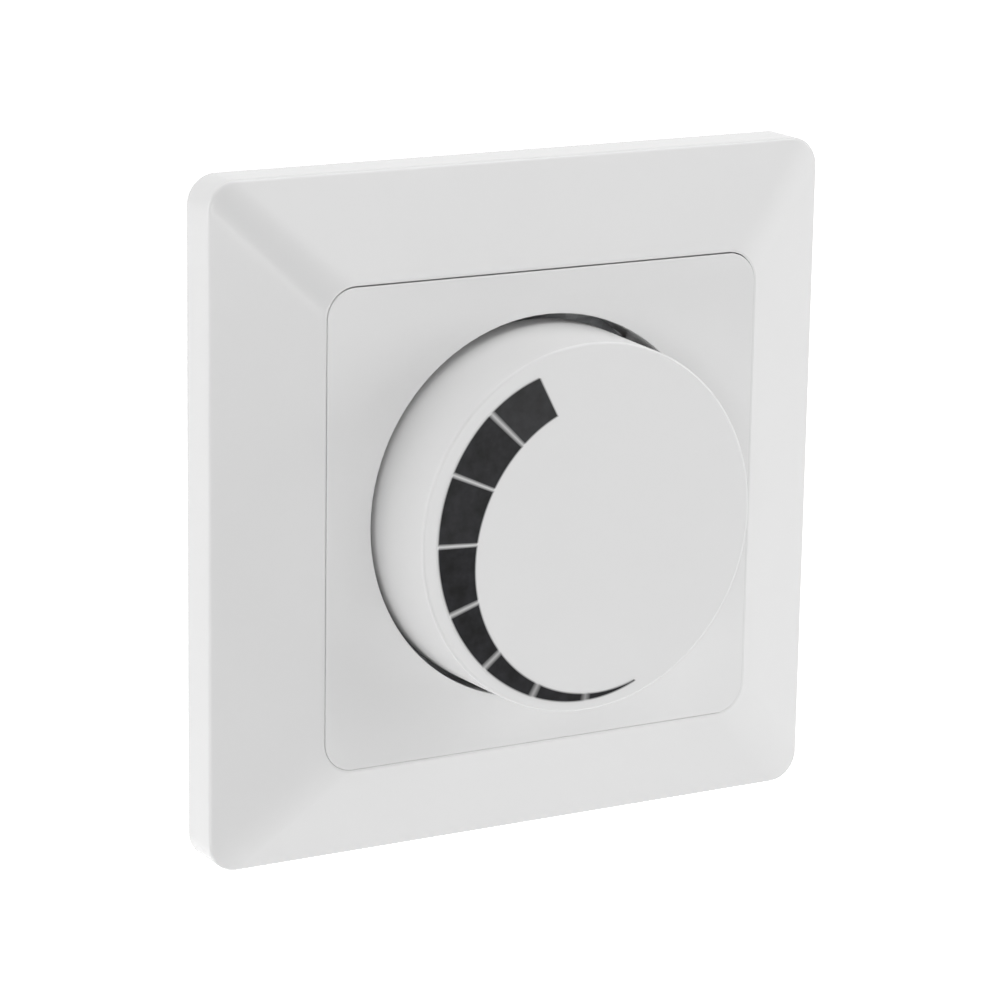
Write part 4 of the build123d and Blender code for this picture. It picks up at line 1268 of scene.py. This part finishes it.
@dataclass
class LevelScale:
    """Printed bars on the knob's face: a band that swells near its start, thins out to a tip and is cut.

    The film reaches past the print by half the width over which its ink fades out, and some ink is left in
    the cuts.

    Args:
        front: Height of the knob's face.
        film_t: Thickness of the film.
        centre: Middle of the band, right and up.
        start: Angle of the band's start in degrees.
        end: Angle of its end in degrees.
        inner: Radius of the inner edge at evenly spaced angles from start to end.
        outer: Radius of the outer edge at the same angles.
        cuts: Angles of the cuts between the bars in degrees.
        cut_aim: Point that the cuts run to, right and up of the band's middle.
        sharpest: Angle at which the print is sharpest in degrees.
        blur_reach: Angle from there at which a cut has gained its rise in width and in ink, in degrees.
        cut_width: Least width of a cut, and its rise.
        cut_ink: Least share of ink left in a cut, and its rise.
        fade: Width over which the ink fades out at the edges.
        bar_cover: Share of the ground that the ink of each bar covers.
        steps: Steps along each bar.
    """

    front: float = 21.5
    film_t: float = 0.05
    centre: tuple[float, float] = (0.33, -0.33)
    start: float = 109.8
    end: float = 289.0
    inner: tuple[float, ...] = (14.64, 14.17, 14.93, 16.72, 18.57, 19.27)
    outer: tuple[float, ...] = (19.82, 20.07, 19.85, 19.85, 20.0, 19.43)
    cuts: tuple[float, ...] = (130.9, 154.55, 179.05, 203.4, 226.6, 248.3, 268.8)
    cut_aim: tuple[float, float] = (2.63, -0.74)
    sharpest: float = 170.0
    blur_reach: float = 75.0
    cut_width: tuple[float, float] = (0.28, 0.3)
    cut_ink: tuple[float, float] = (0.06, 0.42)
    fade: float = 0.25
    bar_cover: tuple[float, ...] = (0.971, 0.988, 0.99, 1.0, 1.0, 1.0, 1.0, 1.0)
    steps: int = 24

    def across(self, angle: np.ndarray) -> np.ndarray:
        """Radii of the five rows of a bar: both edges of the film, the ends of the fade and the middle.

        The print's edges are polynomials in the angle through all the given radii.

        Args:
            angle: Angles in degrees, of shape (..., 5) or (..., 1).

        Returns:
            Radii of shape (..., 5).
        """
        angles = np.linspace(self.start, self.end, len(self.inner))
        inner, outer = (np.polynomial.Polynomial.fit(angles, radii, len(angles) - 1)(angle)
                        for radii in (self.inner, self.outer))
        half = self.fade / 2
        slim = np.minimum(half, (outer - inner) / 2)
        share = np.array([0.0, 0.0, 0.5, 1.0, 1.0])
        sides = np.array([-1.0, 0.0, 0.0, 0.0, 1.0]) * half + np.array([0.0, 1.0, 0.0, -1.0, 0.0]) * slim
        return inner + share * (outer - inner) + sides

    def lines(self) -> np.ndarray:
        """Angles of the five rows at the start, at each cut and at the end.

        A cut that passes the band's middle at a distance p lies p / r further round at the radius r.

        Returns:
            Angles in degrees of shape (cuts + 2, 5).
        """
        angle = np.array([self.start, *self.cuts, self.end])[:, None]
        radius = self.across(angle)
        turn = np.radians(angle)
        aside = self.cut_aim[1] * np.cos(turn) - self.cut_aim[0] * np.sin(turn)
        return angle + np.degrees(aside * (1 / radius - 1 / radius[:, 2:3]))

    def build(self, material: Material, cover: str) -> None:
        """Makes the film: five rows on top and two below, carried along each bar.

        The share of the ground that its ink covers lies on its points, as an attribute.

        Args:
            material: Finish of the print.
            cover: Name of the attribute for the cover.
        """
        lines = self.lines()
        blur = np.abs(np.array(self.cuts) - self.sharpest) / self.blur_reach
        width = np.array([self.fade, *(self.cut_width[0] + self.cut_width[1] * blur), self.fade])
        left = np.array([0.0, *(self.cut_ink[0] + self.cut_ink[1] * blur), 0.0])
        low, high = lines[:-1, None], lines[1:, None]
        arc = (np.radians(high - low) * self.across(low)).mean((1, 2))
        first, last = (width[:-1] / arc)[:, None], (width[1:] / arc)[:, None]
        between = first + np.linspace(0, 1, self.steps) * (1 - first - last)
        share = np.concatenate([np.zeros_like(first), between, np.ones_like(last)], 1)
        angle = low + share[..., None] * (high - low)
        radius = self.across(angle)
        top = np.stack([self.centre[0] + radius * np.cos(np.radians(angle)),
                        self.centre[1] + radius * np.sin(np.radians(angle)),
                        np.full_like(radius, self.front + self.film_t)], -1)
        below = top[:, :, [-1, 0]] - np.array([0, 0, self.film_t])
        rings = np.concatenate([top, below], 2)
        film = prisms("level_scale_film", rings)
        ink = np.zeros(rings.shape[:3])
        ink[:, :, 1:4] = np.array(self.bar_cover)[:, None, None]
        ink[:, 0, 1:4] = left[:-1, None]
        ink[:, -1, 1:4] = left[1:, None]
        film.data.attributes.new(cover, "FLOAT", "POINT").data.foreach_set("value", ink.ravel())
        place_piece(film, Body.KNOB, Slot.INK, material, "level_scale")


@dataclass
class ReturnSpring:
    """Round-wire spring under the plunger.

    Args:
        seat: Height of the base that it stands on.
        bridge: Height of the bridge above it.
        play: Room at both ends.
        radius: Radius to the middle of the wire.
        wire_r: Radius of the wire.
        turns: Number of turns.
        closed_turns: Turns at each end that lie flat.
        travel: Travel of the plunger, not used.
        steps: Steps along the wire.
        sides: Steps round the wire.
    """

    seat: float = -15.2
    bridge: float = -12.5
    play: float = 0.05
    radius: float = 2.0
    wire_r: float = 0.18
    turns: float = 3.5
    closed_turns: float = 0.5
    travel: float = 1.2
    steps: int = 220
    sides: int = 12

    def build(self, material: Material) -> None:
        """Makes the spring: a circle of wire carried along a helix whose rise eases off at both ends.

        The rise s is even by half and a smooth step, s * s * (3 - 2 * s), by half.

        Args:
            material: Finish of the wire.
        """
        share = np.linspace(0, 1, self.steps)
        turn = share * self.turns * FULL_TURN
        flat = self.closed_turns / self.turns
        rise = np.clip((share - flat / 2) / (1 - flat), 0, 1)
        rise = 0.5 * rise + 0.5 * rise * rise * (3 - 2 * rise)
        bottom = self.seat + self.play + self.wire_r
        top = self.bridge - self.play - self.wire_r
        height = bottom + rise * (top - bottom)
        out = np.stack([np.cos(turn), np.sin(turn), np.zeros_like(turn)], -1)
        middle = out * self.radius + np.stack([np.zeros_like(turn), np.zeros_like(turn), height], -1)
        around = np.arange(self.sides) * FULL_TURN / self.sides
        up = np.array([0.0, 0.0, 1.0])
        ring = np.cos(around)[None, :, None] * out[:, None] + np.sin(around)[None, :, None] * up
        spring = capped_tube("spring_wire", middle[:, None] + self.wire_r * ring, middle[[0, -1]])
        place_piece(spring, Body.FIXED, Slot.STEEL, material, "return_spring")
        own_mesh(spring)


# Studio


@dataclass(frozen=True)
class Lamp:
    """Soft box that looks at the object.

    Args:
        name: Name of the lamp.
        place: Where it stands, in metres.
        size: Width of its face in metres.
        power: Power in watts.
        mirrored: Whether it shows in mirror rays.
    """

    name: str
    place: tuple[float, float, float]
    size: float
    power: float
    mirrored: bool = True

    def build(self) -> None:
        """Makes the lamp and turns it to the origin."""
        data = bpy.data.lights.new(self.name, "AREA")
        data.shape = "SQUARE"
        data.size = self.size
        data.energy = self.power
        lamp = bpy.data.objects.new(self.name, data)
        lamp.location = self.place
        lamp.rotation_euler = (-Vector(self.place)).to_track_quat("-Z", "Y").to_euler()
        lamp.visible_camera = False
        lamp.visible_glossy = self.mirrored
        bpy.context.scene.collection.objects.link(lamp)


LAMPS = (
    Lamp("front_right_box", (0.46, -0.65, 0.07), 0.4, 0.1),
    Lamp("right_front_box", (0.7, -0.38, 0.1), 0.4, 1.6, mirrored=False),
    Lamp("right_box", (0.7, 0.0, 0.38), 0.8, 1.0, mirrored=False),
    Lamp("high_right_box", (0.33, -0.26, 0.68), 0.45, 1.85),
    Lamp("top_box", (0.0, -0.02, 0.8), 0.6, 2.15),
    Lamp("front_left_box", (-0.4, -0.69, 0.07), 0.3, 1.22),
    Lamp("low_left_box", (-0.71, -0.3, -0.21), 0.3, 1.0),
    Lamp("low_front_box", (0.08, -0.17, -0.29), 0.25, 0.06),
    Lamp("low_right_box", (0.27, -0.2, -0.27), 0.25, 0.08),
    Lamp("back_left_box", (-0.68, 0.39, 0.14), 0.45, 2.3),
    Lamp("back_fill_box", (0.0, 0.8, 0.1), 1.0, 2.8, mirrored=False),
)


@dataclass(frozen=True)
class DarkStrip:
    """Upright strip of the room that is dark in mirror rays.

    Args:
        turn: Turn of its middle from straight in front to the right, in degrees.
        half: Half width, in degrees.
        soft: Width over which it fades to white, in degrees.
    """

    turn: float
    half: float
    soft: float

    def factor(self, tree: Tree) -> Socket:
        """Factor that is 0 on mirror rays to the strip and 1 elsewhere.

        A ray goes to the strip where it runs to the strip's side and its share along the strip's normal is
        small.

        Args:
            tree: Node tree to add the nodes to.

        Returns:
            The value output.
        """
        turn = math.radians(self.turn)
        inside, outside = (math.sin(math.radians(angle)) for angle in (self.half, self.half + self.soft))
        ray = tree.nodes.new("ShaderNodeTexCoord").outputs["Generated"]
        shares = []
        for axis in ((math.cos(turn), math.sin(turn), 0), (math.sin(turn), -math.cos(turn), 0)):
            share = tree.nodes.new("ShaderNodeVectorMath")
            share.operation = "DOT_PRODUCT"
            share.inputs[1].default_value = axis
            tree.links.new(ray, share.inputs[0])
            shares.append(share.outputs["Value"])
        near = ranged(tree, combined(tree, "ABSOLUTE", shares[0]), (inside, outside), (1, 0))
        ahead = ranged(tree, shares[1], (0, outside), (0, 1))
        mirror = tree.nodes.new("ShaderNodeLightPath").outputs["Is Glossy Ray"]
        dark = combined(tree, "MULTIPLY", combined(tree, "MULTIPLY", near, ahead), mirror)
        return combined(tree, "SUBTRACT", 1.0, dark)


@dataclass(frozen=True)
class Studio:
    """White room: even light from all round, soft boxes and a pale floor well below the hanging object.

    Args:
        ambient: Strength of the even light.
        floor_drop: Distance of the floor below the object's axis in metres.
        floor_reach: Half width of the floor in metres.
        floor_colour: Linear colour of the floor.
        floor_roughness: Roughness of the floor.
        lift_near: Strength that lifts the seen floor below the object.
        lift_far: Strength that lifts it to white farther off.
        near: Distance from the axis up to which the floor is lifted least, in metres.
        far: Distance from which it is white, in metres.
        strips: Dark strips of the room, in front and to the right.
    """

    ambient: float = 0.22
    floor_drop: float = 0.34
    floor_reach: float = 4.0
    floor_colour: Colour = (0.88, 0.88, 0.88)
    floor_roughness: float = 0.9
    lift_near: float = 0.45
    lift_far: float = 1.0
    near: float = 0.4
    far: float = 1.0
    strips: tuple[DarkStrip, ...] = (DarkStrip(5.0, 10.0, 10.0), DarkStrip(48.0, 7.0, 9.0))

    @staticmethod
    def seen(tree: Tree) -> Socket:
        """Factor that is 1 on rays that show a background: camera, mirror and see-through rays.

        Args:
            tree: Node tree to add the nodes to.

        Returns:
            The value output.
        """
        path = tree.nodes.new("ShaderNodeLightPath")
        either = combined(tree, "MAXIMUM", path.outputs["Is Camera Ray"], path.outputs["Is Glossy Ray"])
        return combined(tree, "MAXIMUM", either, path.outputs["Is Transmission Ray"])

    def build_world(self) -> None:
        """Makes the world: white where it is seen, a plain even light elsewhere."""
        world = bpy.data.worlds.new("white_room")
        world.use_nodes = True
        bpy.context.scene.world = world
        tree = world.node_tree
        background = tree.nodes["Background"]
        background.inputs["Color"].default_value = (1, 1, 1, 1)
        strength = ranged(tree, self.seen(tree), (0, 1), (self.ambient, 1))
        for strip in self.strips:
            strength = combined(tree, "MULTIPLY", strength, strip.factor(tree))
        tree.links.new(strength, background.inputs["Strength"])

    def build_floor(self) -> None:
        """Makes the floor: a pale matt sheet that still takes a shadow."""
        reach, low = self.floor_reach, -self.floor_drop
        mesh = bpy.data.meshes.new("floor")
        corners = [(-reach, -reach, low), (reach, -reach, low), (reach, reach, low), (-reach, reach, low)]
        mesh.from_pydata(corners, [], [(0, 1, 2, 3)])
        floor = bpy.data.objects.new("floor", mesh)
        bpy.context.scene.collection.objects.link(floor)
        material = bpy.data.materials.new("pale_floor")
        material.use_nodes = True
        tree = material.node_tree
        shader = tree.nodes["Principled BSDF"]
        shader.inputs["Base Color"].default_value = (*self.floor_colour, 1)
        shader.inputs["Roughness"].default_value = self.floor_roughness
        shader.inputs["Specular IOR Level"].default_value = 0.0
        shader.inputs["Emission Color"].default_value = (1, 1, 1, 1)
        distance = tree.nodes.new("ShaderNodeVectorMath")
        distance.operation = "LENGTH"
        place = tree.nodes.new("ShaderNodeTexCoord")
        tree.links.new(place.outputs["Object"], distance.inputs[0])
        span = math.hypot(self.near, self.floor_drop), math.hypot(self.far, self.floor_drop)
        whiter = ranged(tree, distance.outputs["Value"], span, (self.lift_near, self.lift_far))
        lift = combined(tree, "MULTIPLY", self.seen(tree), whiter)
        tree.links.new(lift, shader.inputs["Emission Strength"])
        dress_piece(floor, material)

    def build(self) -> None:
        """Makes the room and its lamps."""
        self.build_world()
        self.build_floor()
        for lamp in LAMPS:
            lamp.build()


@dataclass(frozen=True)
class PhotoCamera:
    """Camera at the photograph's viewing angle, with no shift.

    Args:
        azimuth: Turn towards the left of the object in degrees.
        elevation: Angle above the horizon in degrees.
        roll: Turn about the line of sight in degrees.
        distance: Distance of the object's origin along the line of sight in mm.
        focal_px: Focal length in pixels of the picture.
        origin_px: Pixel that shows the object's origin.
        picture_px: Width of the picture in pixels.
        sensor: Width of the sensor in mm.
    """

    azimuth: float = 29.711
    elevation: float = 14.116
    roll: float = 0.928
    distance: float = 475.9
    focal_px: float = 4043.3
    origin_px: tuple[float, float] = (496.03, 487.63)
    picture_px: float = 1000.0
    sensor: float = 36.0

    def build(self) -> None:
        """Makes the camera from its axes right, up and back, with the origin off the middle by its pixel."""
        angles = (self.azimuth, self.elevation, self.roll)
        azimuth, elevation, roll = (math.radians(angle) for angle in angles)
        back = Vector((-math.sin(azimuth) * math.cos(elevation), -math.cos(azimuth) * math.cos(elevation),
                       math.sin(elevation)))
        level = Vector((math.cos(azimuth), -math.sin(azimuth), 0))
        rise = back.cross(level)
        right = level * math.cos(roll) + rise * math.sin(roll)
        up = rise * math.cos(roll) - level * math.sin(roll)
        scale = self.distance / self.focal_px
        aside = (self.origin_px[0] - self.picture_px / 2) * scale
        above = (self.picture_px / 2 - self.origin_px[1]) * scale
        place = (back * self.distance - right * aside - up * above) * MM
        data = bpy.data.cameras.new("photo_camera")
        data.sensor_width = self.sensor
        data.lens = self.focal_px * self.sensor / self.picture_px
        camera = bpy.data.objects.new("photo_camera", data)
        turn = Matrix((right, up, back)).transposed().to_4x4()
        camera.matrix_world = Matrix.Translation(place) @ turn
        bpy.context.scene.collection.objects.link(camera)
        bpy.context.scene.camera = camera


def dress_carried_over() -> dict[str, Material]:
    """Gives every node that keeps its solid its own finish.

    Returns:
        The materials by the names of their finishes.
    """
    materials = {finish.name: finish.build() for finish in CARRIED_OVER}
    for finish, names in CARRIED_OVER.items():
        for name in names:
            dress_piece(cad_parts[name], materials[finish.name])
            LOG.info("node %s in %s", name, finish.name)
    return materials


def main() -> None:
    """Builds the pieces, the room and the camera in order."""
    logging.basicConfig(level=logging.INFO, format="%(message)s")
    bpy.context.scene.view_settings.view_transform = "Standard"
    white = WHITE_MOULDING.build()
    materials = dress_carried_over()
    CoverFrame().build(white)
    CentrePlate().build(white)
    Knob().build(white)
    LevelScale().build(DARK_PRINT.build(), DARK_PRINT.cover)
    ReturnSpring().build(materials[PLATED_STEEL.name])
    Studio().build()
    PhotoCamera().build()


if __name__ == "__main__":
    main()
